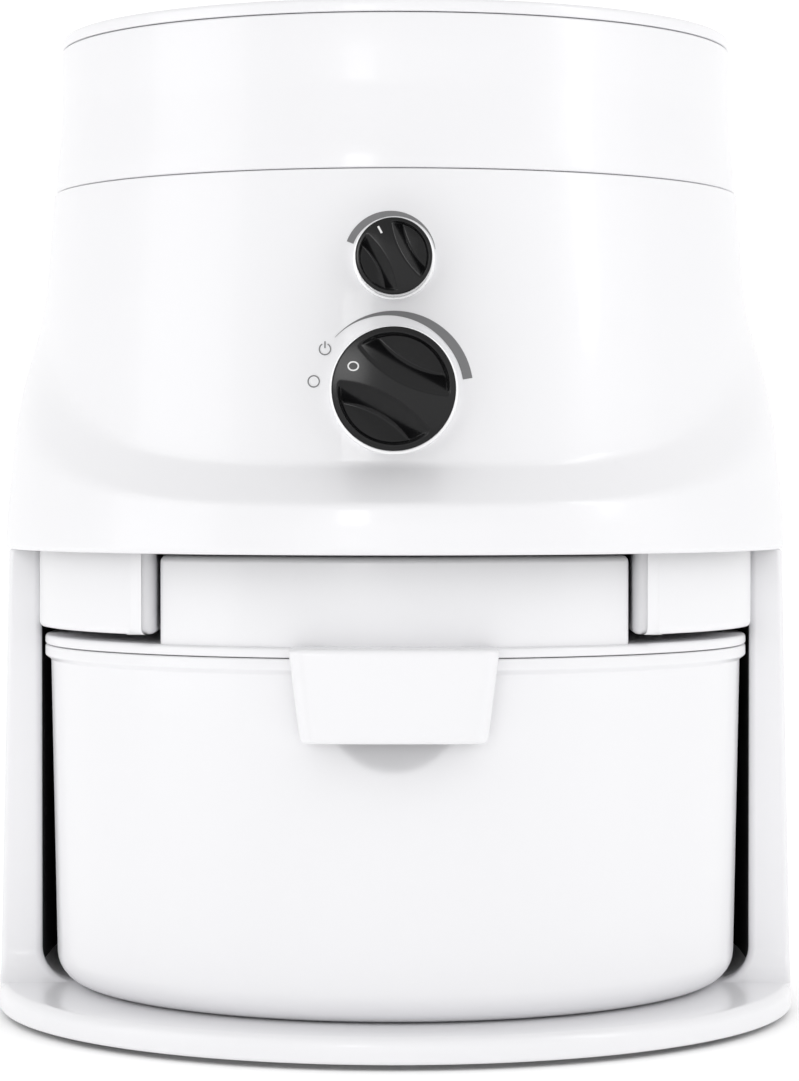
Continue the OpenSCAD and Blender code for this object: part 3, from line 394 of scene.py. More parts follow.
def build_housing():
    """The skin, with the rear opening, the shafts' holes and the gland's hole cut out of it, and the panel
    that is the piece cut out, with its row of slots."""
    skin = make_housing()
    front_cut = (-160, -100)
    rear_cut = (80, high("main_housing", Y) + 20)
    motor_hole_r, feed_hole_r, gland_hole_r, panel_corner = 4.5, 5.5, 6.1, 4.7
    opening = Surface()
    prism_y(opening, round_rect(-PANEL_X - GAP, PANEL_LOW - GAP, PANEL_X + GAP, PANEL_HIGH + GAP, panel_corner + GAP),
            *rear_cut)
    prism_y(opening, circle_y(0, MOTOR_Z, motor_hole_r), *front_cut)
    prism_y(opening, circle_y(0, FEED_Z, feed_hole_r), *front_cut)
    prism_y(opening, circle_y(0, GLAND_Z, gland_hole_r), 120, rear_cut[1])
    opening = opening.make("opening")
    panel_block = prism_y(Surface(), round_rect(-PANEL_X, PANEL_LOW, PANEL_X, PANEL_HIGH, panel_corner), *rear_cut)
    panel_block = panel_block.make("panel_block")
    housing = cut_with(skin, opening, "DIFFERENCE", "housing")
    plain_panel = cut_with(skin, panel_block, "INTERSECT", "plain_panel")
    slots = Surface()
    slot_count, slot_height = 7, 3.2
    slot_half = PANEL_X - 14
    step = (PANEL_HIGH - PANEL_LOW - 8) / slot_count
    for i in range(slot_count):
        z = PANEL_LOW + 5.2 + i * step
        prism_y(slots, round_rect(-slot_half, z, slot_half, z + slot_height, slot_height / 2 - 0.05), *rear_cut)
    slots = slots.make("slots")
    panel = cut_with(plain_panel, slots, "DIFFERENCE", "rear_vent_panel")
    for piece in (housing, panel):
        soften(piece.data)
    drop(skin, opening, panel_block, plain_panel, slots)
    return housing, panel


def pad_ring(z, radius, face_y, back_y, name):
    """The low round pad under a knob: a ring with a rounded front edge, from its face back into the skin."""
    hole_r, edge = 6, 0.8
    profile = np.vstack([[[hole_r, back_y], [radius, back_y]],
                         arc(radius - edge, -face_y - edge, edge, 0, 90, 5) * [1, -1], [[hole_r, face_y]]])
    return Surface().grid(spin_y(profile, 0, z), closed_rows=True, closed_columns=True).make(name)


KNOB_CROWN = 0.03


def knob(name, z, diameter, face_y, back_y, turn, bar_half, bar_end, depth, wall):
    """A round knob as a height field on rings and angles. Across the grip direction, at distance v, and along it,
    at distance u, each finger lobe begins where |v| passes bar_half + (bar_end - bar_half) (u / R)^2, so that
    the bar between them is narrow in the middle and wide at its ends. The lobe falls from the bar over the
    width of its wall and rises again in a scoop to the rim."""
    radius = diameter / 2
    rim = 0.045 * diameter
    face_edge = 0.5
    rings = np.concatenate([np.linspace(0.02, 0.955, 74), [0.965, 0.975, 0.985, 0.992, 0.997, 1.0]])
    rings = rings * (radius - face_edge)
    angles = np.linspace(0, 2 * math.pi, 288, endpoint=False)
    rr, aa = np.meshgrid(rings, angles, indexing="ij")
    x, h = rr * np.cos(aa), rr * np.sin(aa)
    t = math.radians(turn)
    u, v = x * math.cos(t) + h * math.sin(t), -x * math.sin(t) + h * math.cos(t)
    edge = bar_half + (bar_end - bar_half) * (u / radius) ** 2
    into = (np.abs(v) - edge) / wall
    room = (radius - rim - rr) / (0.03 * diameter)
    fall = soft_ramp(into, 0.12) * smooth_step(room)
    scoop = 1 - 0.8 * np.clip((np.abs(v) - edge - wall) / (radius - edge - wall), 0, 1) ** 1.3
    crown = KNOB_CROWN * diameter * (rr / radius) ** 2
    y = face_y + crown + depth * fall * scoop
    top = np.stack([x, y, z + h], -1)
    a = np.radians(np.linspace(0, 90, 6))[1:]
    side_r = radius - face_edge + face_edge * np.sin(a)
    side_y = face_y + crown.max() + face_edge * (1 - np.cos(a))
    side = np.column_stack([side_r, side_y])
    skirt = densify(np.array([side[-1], [radius, back_y - 0.3], [radius - 0.3, back_y]]), 2.0)[1:]
    side = np.vstack([side, skirt, [[0.5, back_y]]])
    sides = spin_y(side, 0, z, len(angles))
    points = np.vstack([np.tile([[[0.0, face_y, z]]], (1, len(angles), 1)), top, sides,
                        np.tile([[[0.0, back_y, z]]], (1, len(angles), 1))])
    return Surface().grid(points, closed_columns=True).make(name, sharp=60)


def ribbon(surface, path, half_width, place, thickness=0.12, sunk=0.4):
    """A flat printed line: a closed strip of the half width on both sides of a path in the XZ plane. It stands
    out by its thickness and is sunk below the surface that carries it, whose Y comes from place(x, z, proud)."""
    path = np.asarray(path, float)
    half_width = np.broadcast_to(half_width, len(path))[:, None]
    tangent = np.gradient(path, axis=0)
    tangent /= np.linalg.norm(tangent, axis=1, keepdims=True)
    normal = np.column_stack([-tangent[:, 1], tangent[:, 0]])
    rows = []
    for side, proud in ((-1, thickness), (1, thickness), (1, -sunk), (-1, -sunk)):
        p = path + side * half_width * normal
        rows.append(np.column_stack([p[:, 0], place(p[:, 0], p[:, 1], proud), p[:, 1]]))
    surface.grid(np.array(rows), closed_rows=True)
    surface.cap([row[0] for row in rows])
    surface.cap([row[-1] for row in rows])
    return surface


def wedge_arc(surface, z, width, thin_a, thick_a, thin_r, thick_r):
    """A printed scale: an arc that grows from a hair line at one angle to its full width at the other. Its outer
    edge runs from the thin end's radius to the thick end's along a quarter sine wave."""
    along = np.linspace(0.0, 1.0, 120)
    a = np.radians(thin_a + (thick_a - thin_a) * along)
    outer = thin_r + (thick_r - thin_r) * np.sin(math.pi / 2 * along)
    hair = 0.12
    wide = hair + (width - hair) * smooth_step(along / 0.85) ** 0.8
    mid = outer - wide / 2
    path = np.column_stack([mid * np.cos(a), z + mid * np.sin(a)])
    return ribbon(surface, path, wide / 2, front_y)


def printed_ring(surface, x, z, start, end, points):
    """A fine printed ring round x, z, from a start angle to an end angle in degrees."""
    radius, half_line = 1.75, 0.18
    a = np.radians(np.linspace(start, end, points))
    ribbon(surface, np.column_stack([x + radius * np.cos(a), z + radius * np.sin(a)]), half_line, front_y)


def printed_marks():
    """The two scales and the on and off signs beside the feed knob, on the housing's front."""
    marks = Surface()
    wedge_arc(marks, FEED_Z, 3.0, 138, 9, 24.6, 24.6)
    wedge_arc(marks, MOTOR_Z, 2.2, 14, 159, 13.2, 15.7)
    on_x, on_z = -21.4, FEED_Z + 12.8
    printed_ring(marks, on_x, on_z, 118, 422, 48)
    ribbon(marks, [[on_x, on_z + 0.3], [on_x, on_z + 1.4], [on_x, on_z + 2.4]], 0.2, front_y)
    printed_ring(marks, -24.9, FEED_Z + 2.8, 0, 360, 49)
    return marks.make("printed_scales")


FEED_MARK_A = 151
MOTOR_MARK_A = 118


def on_knob(face_y, z, diameter):
    """The place function of a line that is printed on a knob's bar: y = face + crown D (r / R)^2."""
    def place(px, pz, proud):
        rr = np.hypot(px, pz - z)
        return face_y + KNOB_CROWN * diameter * (rr / (diameter / 2)) ** 2 - proud * 0.6
    return place


def feed_mark():
    """The small white ring on the feed knob's bar."""
    r = 0.37 * FEED_D
    x, z = r * math.cos(math.radians(FEED_MARK_A)), FEED_Z + r * math.sin(math.radians(FEED_MARK_A))
    a = np.radians(np.linspace(0, 360, 49))
    path = np.column_stack([x + 1.55 * np.cos(a), z + 1.3 * np.sin(a)])
    return ribbon(Surface(), path, 0.22, on_knob(FEED_FACE_Y, FEED_Z, FEED_D)).make("feed_pointer")


def motor_mark():
    """The short white line on the motor knob's bar."""
    a = math.radians(MOTOR_MARK_A)
    r = np.linspace(0.66, 0.86, 6) * MOTOR_D / 2
    path = np.column_stack([r * math.cos(a), MOTOR_Z + r * math.sin(a)])
    return ribbon(Surface(), path, 0.3, on_knob(MOTOR_FACE_Y, MOTOR_Z, MOTOR_D)).make("motor_pointer")


# ---------------------------------------------------------------- hopper and its lid

def build_hopper_ring():
    """The plain band: its section is a wall with rounded upper edges, a foot on the housing and a ledge inside."""
    base = low("hopper_ring", Z)
    section = rounded([
        [SEAM_R - 9, base], [SEAM_R - 0.5, base], [SEAM_R - 0.9, base + 7], [TOP_R, RING_TOP - 22], [TOP_R, RING_TOP],
        [TOP_R - WALL, RING_TOP], [TOP_R - WALL, RING_TOP - 10.8], [TOP_R - WALL - 4, RING_TOP - 10.8],
        [TOP_R - WALL - 4, RING_TOP - 13.3], [TOP_R - WALL, RING_TOP - 17.3], [SEAM_R - 1 - WALL, base + 9],
        [SEAM_R - WALL - 0.5, base + 3], [SEAM_R - 9, base + 3], [SEAM_R - 9, base]],
        [0.5, 3, 30, 0.8, 0.8, 0.5, 0.5, 0.5, 0.5, 2, 1, 0.5], 5)
    return race_shell("hopper_band", densify(section[:-1], 12))


def build_hopper_lid():
    """The lid: a plate with a rolled edge and a slow crown, and a rib below it that drops inside the band."""
    rib = TOP_R - WALL - 0.3
    section = rounded([
        [0.02, LID_TOP - 2.6], [rib - 2.2, LID_TOP - 3.4], [rib - 2.2, RING_TOP - 4], [rib, RING_TOP - 4],
        [rib, LID_LOW], [TOP_R - 0.1, LID_LOW], [TOP_R, LID_TOP - 1.0], [TOP_R - 4, LID_TOP - 0.55], [0.02, LID_TOP]],
        [1.5, 0.5, 0.5, 0.3, 0.5, 1.6, 1.5], 6)
    return race_shell("hopper_cover", densify(section, 9), closed=False)


# ---------------------------------------------------------------- base

def base_radius(z):
    """Half width of the base's outer face, which leans in evenly."""
    return BASE_R - BASE_LEAN * (z - BASE_LOW) / (BASE_TOP - BASE_LOW)


LINER_FRONT = low("bay_liner", Y) - 0.1
LINER_ROOM = 1.55


def wall_loop(inner, outer, front, round_r=2.4):
    """Plan of the side and back wall at one height: the outer line from the left leg round the back to the right
    leg, a rounded front edge, the inner line back again and the other rounded edge. Anticlockwise. Behind its front
    edge the inner line steps out to make room for the liner, a dark sheet that stands in for the shade deep in the
    bay."""
    def line(radius, step_out):
        a = np.linspace(0, math.pi, 121)
        wide = radius + step_out
        arcs = np.column_stack([wide * np.cos(a), STRETCH / 2 + wide * np.sin(a)])
        run = np.concatenate([[front + round_r, LINER_FRONT], np.linspace(LINER_FRONT, STRETCH / 2, 12)[:-1]])
        size = radius + step_out * (np.arange(len(run)) > 1)
        reach = np.where(run < FRONT_Y, np.sqrt(np.maximum(size ** 2 - (run - FRONT_Y) ** 2, 1)), size)
        ends = [np.column_stack([side * reach, run]) for side in (1, -1)]
        return np.vstack([ends[0], arcs, ends[1][::-1]])
    out_line = line(outer, 0.0)
    in_line = line(inner, LINER_ROOM)
    out_x, in_x = out_line[0, 0], in_line[0, 0]
    right = np.vstack([arc(in_x + round_r, front + round_r, round_r, 180, 270, 6),
                       arc(out_x - round_r, front + round_r, round_r, 270, 360, 6)])
    left = right[::-1] * [-1, 1]
    return np.vstack([out_line, left[1:-1], in_line[::-1], right[1:-1]])


FOOT_R = 10.0


def build_base():
    """Tray, wall and four foot bosses as closed forms in one mesh. The tray's edge is rounded. The wall's inner line
    and its front edges, which are rounded, flare on to the tray in a concave quarter circle. A boss is a flat ring."""
    base = Surface()
    tray = rounded([[0.02, TRAY_Z - WALL], [BASE_R - WALL, TRAY_Z - WALL], [BASE_R - WALL, BASE_LOW],
                    [BASE_R, BASE_LOW], [base_radius(TRAY_Z), TRAY_Z], [0.02, TRAY_Z]], [1, 0.5, 1.2, 3.2], 6)
    base.grid(carry(densify(tray, 8)), closed_columns=True)
    flare_r, flare_sunk, skin_inset = 11.0, 0.15, 0.03
    rows = []
    flare_z = TRAY_Z - flare_sunk + flare_r * (1 - np.cos(np.radians(np.linspace(0, 90, 14))))
    heights = np.concatenate([[TRAY_Z - 3.4], flare_z, np.linspace(TRAY_Z + flare_r, BASE_TOP - 1, 26)[1:]])
    for z in heights:
        t = np.clip((z - TRAY_Z + flare_sunk) / flare_r, 0, 1)
        flare = flare_r * (1 - math.sqrt(max(0.0, 1 - (1 - t) ** 2)))
        rows.append((z, BAY_R - flare, base_radius(z) - skin_inset, LEG_FRONT - flare))
    for a in np.radians(np.linspace(18, 90, 5)):
        inset = 1 - math.cos(a)
        rows.append((BASE_TOP - 1 + math.sin(a), BAY_R + inset, base_radius(BASE_TOP) - inset, LEG_FRONT))
    plans = [(z, wall_loop(*sizes)) for z, *sizes in rows]
    loops = [np.column_stack([plan, np.full(len(plan), z)]) for z, plan in plans]
    base.grid(np.array(loops), closed_columns=True)
    base.cap(loops[0])
    base.cap(loops[-1])
    turn = np.linspace(0, 2 * math.pi, 49)[:-1]
    foot_low, foot_high = high("rubber_feet", Z), TRAY_Z - WALL + 0.3
    foot_x = high("rubber_feet", X) - FOOT_R
    boss_r, screw_r = FOOT_R + 1, 1.7
    ring = [(boss_r, foot_low), (boss_r, foot_high), (screw_r, foot_high), (screw_r, foot_low)]
    for x, y in ((foot_x, foot_x), (-foot_x, foot_x), (foot_x, -foot_x), (-foot_x, -foot_x)):
        rows = [np.column_stack([x + r * np.cos(turn), y + r * np.sin(turn), z + 0 * turn]) for r, z in ring]
        base.grid(np.array(rows), closed_rows=True, closed_columns=True)
    return base.make("base_shell", sharp=50)


# ---------------------------------------------------------------- guide blocks

def build_guide_block(side, node):
    """A block under the skirt: its plan follows the bay's round front between two straight sides, with rounded
    corners, and its lower edges are rounded."""
    x0, x1 = 76.0, 119.6
    radius = BAY_R + 1.7
    back = high(node, Y)
    y0 = FRONT_Y - math.sqrt(radius ** 2 - x0 ** 2)
    y1 = FRONT_Y - math.sqrt(radius ** 2 - x1 ** 2)
    a0 = math.degrees(math.atan2(y0 - FRONT_Y, x0))
    a1 = math.degrees(math.atan2(y1 - FRONT_Y, x1))
    front = arc(0, FRONT_Y, radius, a0, a1, 14)
    plan = rounded(np.vstack([[[x0, back]], [[x0, front[0, 1]]], front[1:-1], [[x1, front[-1, 1]]], [[x1, back]]]),
                   [5.0] + [0] * (len(front) - 2) + [6.0], 7)
    plan = densify(plan, 6)
    plan = plan if side > 0 else plan[::-1] * [-1, 1]
    levels = edge_levels(low(node, Z), 2.0, False) + [(low(node, Z) + 12, 0), (high(node, Z), 0)]
    return tower(Surface(), plan, levels).make("guide_" + ("right" if side > 0 else "left"), sharp=50)


# ---------------------------------------------------------------- flour bowl and its lid

BOWL_WALL = 2.5
WALL_TOP_R = BOWL_R - 2.0
WALL_LOW_R = WALL_TOP_R - 2.2
LIP_T = 3.5
FLANGE_TOP = DOME_TOP - 28.4
HANDLE_TOP = FLANGE_TOP + 0.4
HANDLE_LOW = HANDLE_TOP - 29.5
HANDLE_Y = low("flour_bowl", Y)
HANDLE_TOP_W, HANDLE_LOW_W = 32.7, 29.0
SCOOP_R = 40.0
SCOOP_OUT = 0.85
SCOOP_Z = HANDLE_LOW + 0.28 * SCOOP_R


def scoop_depth(x, z):
    """How far the bowl's front wall is pressed in for the fingers: the back of a sphere in front of the wall,
    d = sqrt(R^2 - rho^2) - k R, whose edge is rounded as (d + sqrt(d^2 + e^2)) / 2."""
    rho = np.hypot(x, z - SCOOP_Z)
    ball = np.sqrt(np.maximum(SCOOP_R ** 2 - rho ** 2, 0)) - SCOOP_OUT * SCOOP_R
    soft = (ball + np.sqrt(ball ** 2 + 0.6)) / 2
    return soft * smooth_step((34 - rho) / 10)


def build_bowl():
    """The tub: its section carried round the plan, the front pressed in at the scoop. Columns are close together
    at the scoop and wide apart elsewhere."""
    outer = rounded([[0.02, BOWL_LOW], [WALL_LOW_R, BOWL_LOW], [WALL_TOP_R, RIM_TOP - LIP_T - 1.5],
                     [BOWL_R, RIM_TOP - LIP_T], [BOWL_R, RIM_TOP]], [10.0, 0.8, 0.8], 8)
    outer = np.vstack([outer[:-1], arc(BOWL_R - 0.7, RIM_TOP - 0.7, 0.7, 0, 90, 4)])
    inner = rounded([[WALL_TOP_R - BOWL_WALL, RIM_TOP], [WALL_LOW_R - BOWL_WALL, BOWL_LOW + BOWL_WALL],
                     [0.02, BOWL_LOW + BOWL_WALL]], [8.0], 8)
    outer, inner = densify(outer, 2.4), densify(inner, 2.6)
    scooped = [np.linspace(a, b, 5)[:-1] if HANDLE_LOW - 12 < b[1] < RIM_TOP - 6 else a[None]
               for a, b in zip(outer[:-1], outer[1:])]
    profile = np.vstack(scooped + [outer[-1:], inner])
    fine = np.arcsin(np.linspace(-0.24, 0.24, 84)) + 1.5 * math.pi
    coarse = np.linspace(0, math.pi, 73)
    angles = np.concatenate([coarse, np.linspace(math.pi, fine[0], 40)[:-1], fine,
                             np.linspace(fine[-1], 2 * math.pi, 40)[1:]])
    centres = np.where(np.arange(len(angles)) < len(coarse), STRETCH / 2, -STRETCH / 2)
    r, z = profile[:, :1], profile[:, 1:]
    points = np.stack([r * np.cos(angles), centres + r * np.sin(angles), z + 0 * angles], -1)
    front = (points[..., 1] < FRONT_Y - 60) & (r > WALL_LOW_R - 12)
    points[..., 1] += np.where(front, scoop_depth(points[..., 0], points[..., 2]), 0)
    return Surface().grid(points, closed_columns=True).make("bowl_tub", sharp=40)


HANDLE_BOW = 0.9


def handle_loop(half_w, y_front, radius, y_back):
    """Plan of the handle at one height, anticlockwise: a rectangle whose front corners are rounded and whose
    front side bows: y falls back from its middle by bow (x / half width)^2."""
    left = arc(-half_w + radius, y_front + radius, radius, 180, 270, 8)
    right = arc(half_w - radius, y_front + radius, radius, 270, 360, 8)
    face = np.column_stack([np.linspace(left[-1, 0], right[0, 0], 14)[1:-1], np.full(12, y_front)])
    bow = HANDLE_BOW * (1 - (face[:, 0] / half_w) ** 2)
    face[:, 1] += HANDLE_BOW - bow
    left[:, 1] += HANDLE_BOW * (np.arange(9) / 8)
    right[:, 1] += HANDLE_BOW * (1 - np.arange(9) / 8)
    return np.vstack([[[-half_w, y_back]], left, face, right, [[half_w, y_back]]])


def build_handle():
    """The pull: a hood, open below, in front of the bowl. Loops run from the cavity's ceiling down its inner
    faces, round the lower edge, up the outer faces and over the rounded top edge."""
    back = FRONT_Y - WALL_TOP_R + 1.6
    wall, corner, inner_corner = 3.2, 6.0, 4.0
    low_round, top_round = 1.2, 2.2

    def width(z):
        return HANDLE_LOW_W + (HANDLE_TOP_W - HANDLE_LOW_W) * (z - HANDLE_LOW) / (HANDLE_TOP - HANDLE_LOW)
    rows = []
    for z in np.linspace(HANDLE_TOP - wall, HANDLE_LOW + low_round, 8):
        rows.append((z, width(z) - wall, HANDLE_Y + wall, inner_corner))
    for a in np.radians(np.linspace(180, 360, 9)):
        inset = wall / 2 - wall / 2 * math.cos(a)
        z = HANDLE_LOW + low_round + low_round * math.sin(a)
        rows.append((z, width(HANDLE_LOW) - inset, HANDLE_Y + inset, corner - inset / 2))
    for z in np.linspace(HANDLE_LOW + low_round, HANDLE_TOP - top_round, 16)[1:]:
        rows.append((z, width(z), HANDLE_Y, corner))
    for a in np.radians(np.linspace(0, 90, 7))[1:]:
        inset = top_round * (1 - math.cos(a))
        z = HANDLE_TOP - top_round + top_round * math.sin(a)
        rows.append((z, width(HANDLE_TOP) - inset, HANDLE_Y + inset, corner - inset))
    loops = [np.column_stack([handle_loop(w, y, r, back), np.full(32, z)]) for z, w, y, r in rows]
    handle = Surface()
    handle.grid(np.array(loops), closed_columns=True)
    handle.cap(loops[0])
    handle.cap(loops[-1])
    return handle.make("bowl_handle", sharp=50)


def dome_loop(radius, half_w, corner):
    """Plan of the lid's raised middle: the stadium between two straight sides, its four corners rounded."""
    reach = math.asin(half_w / radius)
    a = np.linspace(-reach, reach, 60)
    front = np.column_stack([radius * np.sin(a), FRONT_Y - radius * np.cos(a)])
    back = np.column_stack([radius * np.sin(-a), -FRONT_Y + radius * np.cos(a)])
    ring = np.vstack([[[half_w, 0]], back, front, [[half_w, 0]]])
    radii = np.zeros(len(ring) - 2)
    radii[[0, 59, 60, 119]] = corner
    return rounded(ring, radii, 6)[:-1]


def build_bowl_lid():
    """Flange, lip and hollow raised middle with the filter's recess and the flour chute's hole through it."""
    tray_half, tray_front, tray_back, tray_depth = 42, -78, 14, 10
    chute_y = middle("flour_chute", Y)
    chute_r = 0.5 * (high("flour_chute", X) - low("flour_chute", X)) + 0.6
    flange = rounded([[0.02, LID_Z], [BOWL_R, LID_Z], [BOWL_R, FLANGE_TOP], [0.02, FLANGE_TOP]], [0.7, 1.2], 4)
    flange = race_shell("flange", densify(flange, 12), closed=False)
    dome_r = WALL_TOP_R + 0.3
    outer = tower(Surface(), dome_loop(dome_r, DOME_W, 3.0),
                  [(FLANGE_TOP - 1.5, 0)] + edge_levels(DOME_TOP, 2.4, True, 7)).make("outer")
    inner = tower(Surface(), dome_loop(dome_r - 3, DOME_W - 3, 2.0),
                  [(LID_Z - 8, 0), (DOME_TOP - 2.6, 0)]).make("inner")
    recess = prism_y(Surface(), round_rect(-tray_half, DOME_TOP - tray_depth, tray_half, DOME_TOP + 8, 1.5),
                     tray_front, tray_back)
    recess = recess.make("recess")
    tray = prism_y(Surface(), round_rect(-tray_half - 2, DOME_TOP - tray_depth - 2, tray_half + 2, DOME_TOP - 1, 1.5),
                   tray_front - 2, tray_back + 2).make("tray")
    a = np.radians(np.linspace(0, 360, 65)[:-1])
    hole = np.column_stack([chute_r * np.cos(a), chute_y + chute_r * np.sin(a)])
    bore = tower(Surface(), hole, [(LID_Z - 8, 0), (DOME_TOP + 8, 0)]).make("bore")
    solid = cut_with(outer, flange, "UNION", "solid")
    hollow = cut_with(solid, inner, "DIFFERENCE", "hollow")
    floored = cut_with(hollow, tray, "UNION", "floored")
    recessed = cut_with(floored, recess, "DIFFERENCE", "recessed")
    lid = cut_with(recessed, bore, "DIFFERENCE", "bowl_cover")
    drop(flange, outer, inner, recess, tray, bore, solid, hollow, floored, recessed)
    soften(lid.data)
    return lid


# ---------------------------------------------------------------- materials

class Value:
    """A socket of a shader maths node. Python operators on it add Math nodes."""

    def __init__(self, tree, socket):
        self.tree, self.socket = tree, socket

    def node(self, kind, settings=(), out=0, **inputs):
        """Any node of the tree: its type, its settings first, then values or links by socket name."""
        node = self.tree.nodes.new(kind)
        for key, value in dict(settings).items():
            setattr(node, key, value)
        for key, value in inputs.items():
            put(self.tree, node.inputs[key.replace("_", " ")], value)
        return Value(self.tree, node.outputs[out])

    def math(self, operation, *values):
        """A Math node of this operation on the values."""
        node = self.tree.nodes.new("ShaderNodeMath")
        node.operation = operation
        for socket, value in zip(node.inputs, values):
            put(self.tree, socket, value)
        return Value(self.tree, node.outputs[0])

    def __add__(self, other):
        return self.math("ADD", self, other)

    def __radd__(self, other):
        return self.math("ADD", other, self)

    def __mul__(self, other):
        return self.math("MULTIPLY", self, other)

    def __rmul__(self, other):
        return self.math("MULTIPLY", other, self)

    def step(self, low_edge, high_edge):
        """Smooth step of this value from 0 at one edge to 1 at the other."""
        return self.node("ShaderNodeMapRange", {"interpolation_type": "SMOOTHSTEP"}, Value=self,
                         From_Min=low_edge, From_Max=high_edge)

    def noise(self, scale, detail=3.0, rough=0.5, stretch=(1, 1, 1)):
        """Noise of this vector, of the given scale per metre, 0 to 1."""
        place = self.node("ShaderNodeVectorMath", {"operation": "MULTIPLY"}, Vector=self)
        put(self.tree, place.socket.node.inputs[1], tuple(scale * s for s in stretch))
        return self.node("ShaderNodeTexNoise", {"noise_dimensions": "3D"}, Vector=place, Scale=1.0, Detail=detail,
                         Roughness=rough)

    def blend(self, first, second):
        """Colour between two colours by this value."""
        node = self.tree.nodes.new("ShaderNodeMix")
        node.data_type = "RGBA"
        for socket, value in ((node.inputs[0], self), (node.inputs[6], first), (node.inputs[7], second)):
            put(self.tree, socket, value)
        return Value(self.tree, node.outputs[2])


def put(tree, socket, value):
    """Sets a socket to a constant or links it to a value."""
    if isinstance(value, Value):
        tree.links.new(value.socket, socket)
    elif isinstance(value, (tuple, list)) and socket.type == "RGBA" and len(value) == 3:
        socket.default_value = (*value, 1.0)
    else:
        socket.default_value = value


def new_material(name):
    """An empty principled material: its shader node and the Object coordinates as a vector."""
    material = bpy.data.materials.new(name)
    material.use_nodes = True
    tree = material.node_tree
    shader = next(n for n in tree.nodes if n.type == "BSDF_PRINCIPLED")
    place = tree.nodes.new("ShaderNodeTexCoord")
    return material, tree, shader, Value(tree, place.outputs["Object"])


def axis_value(place, index):
    """One coordinate of the place, in metres."""
    return place.node("ShaderNodeSeparateXYZ", out=index, Vector=place)


def bump(tree, shader, height):
    """Raises the surface by a height in metres."""
    put(tree, shader.inputs["Normal"], height.node("ShaderNodeBump", Strength=1.0, Distance=1.0, Height=height))


def moulded(name, colour, dark, rough, rough_more, coat=0.0, coat_rough=0.04, grain=900, relief=0.00001, ripple=0.0,
            specular=0.5):
    """Moulded plastic or rubber: base = mix(colour, dark, cloud), roughness = rough + rough_more times cloud, and
    a bump of fine grain plus the slow ripple that a moulding's thickness leaves."""
    material, tree, shader, place = new_material(name)
    cloud = place.noise(9.0, 1.0)
    fine = place.noise(grain, 2.0)
    put(tree, shader.inputs["Base Color"], (cloud * 0.8 + fine * 0.2).blend(colour, dark))
    put(tree, shader.inputs["Roughness"], cloud * rough_more + rough)
    shader.inputs["Specular IOR Level"].default_value = specular
    shader.inputs["Coat Weight"].default_value = coat
    shader.inputs["Coat Roughness"].default_value = coat_rough
    height = fine * relief
    if ripple:
        height = height + place.noise(12.0, 0.0) * ripple
    bump(tree, shader, height)
    return material


def metal(name, colour, dark, rough, rough_more, stretch, relief=0.000006, scale=700):
    """Metal with the direction of its working: noise drawn out along one axis shades the base colour, the
    roughness and a fine bump."""
    material, tree, shader, place = new_material(name)
    lines = place.noise(scale, 3.0, 0.6, stretch)
    cloud = place.noise(40.0, 3.0)
    put(tree, shader.inputs["Base Color"], (lines * 0.6 + cloud * 0.4).blend(dark, colour))
    shader.inputs["Metallic"].default_value = 1.0
    put(tree, shader.inputs["Roughness"], lines * rough_more + rough)
    bump(tree, shader, lines * relief)
    return material


def winding(name, colour, dark, pitch, axis):
    """Wound wire: ridges = |sin(pi s / pitch)| along one axis, darker between the turns as painted shade in the
    grooves.
    """
    material, tree, shader, place = new_material(name)
    phase = axis_value(place, axis) * (math.pi / pitch)
    ridges = phase.math("ABSOLUTE", phase.math("SINE", phase))
    # The grooves between the turns get the darker colour: painted shade.
    put(tree, shader.inputs["Base Color"], (ridges * 0.85 + place.noise(300.0) * 0.15).blend(dark, colour))
    shader.inputs["Metallic"].default_value = 0.75
    put(tree, shader.inputs["Roughness"], place.noise(200.0) * 0.2 + 0.28)
    bump(tree, shader, ridges * (pitch * 0.4))
    return material


def laminated(name, colour, dark, pitch):
    """Stacked steel sheets: fine lines of one pitch along Z, with a varnish that clouds."""
    material, tree, shader, place = new_material(name)
    sheet = axis_value(place, Z) * (2 * math.pi / pitch)
    lines = sheet.math("SINE", sheet) * 0.5 + 0.5
    cloud = place.noise(60.0)
    put(tree, shader.inputs["Base Color"], (lines * 0.7 + cloud * 0.3).blend(dark, colour))
    shader.inputs["Metallic"].default_value = 0.8
    put(tree, shader.inputs["Roughness"], cloud * 0.25 + 0.35)
    bump(tree, shader, lines * 0.00003)
    return material


def cellular(name, colour, dark):
    """Open foam: rounded cells from a Voronoi distance, darker in their holes as painted shade."""
    material, tree, shader, place = new_material(name)
    cells = place.node("ShaderNodeTexVoronoi", {"feature": "F1"}, Vector=place, Scale=900.0).step(0.1, 0.7)
    # The cell centres, the holes, get the darker colour: painted shade in the pores.
    put(tree, shader.inputs["Base Color"], cells.blend(dark, colour))
    put(tree, shader.inputs["Roughness"], cells * 0.1 + 0.85)
    bump(tree, shader, cells * 0.0004)
    return material


def circuit(name):
    """A printed board: green varnish over paler tracks that follow a stepped noise."""
    material, tree, shader, place = new_material(name)
    tracks = place.noise(420.0, 1.0, 0.3, (1, 0.25, 1)).step(0.52, 0.56)
    put(tree, shader.inputs["Base Color"], tracks.blend((0.02, 0.16, 0.06), (0.05, 0.3, 0.12)))
    put(tree, shader.inputs["Roughness"], place.noise(90.0) * 0.1 + 0.25)
    bump(tree, shader, tracks * 0.00004)
    return material


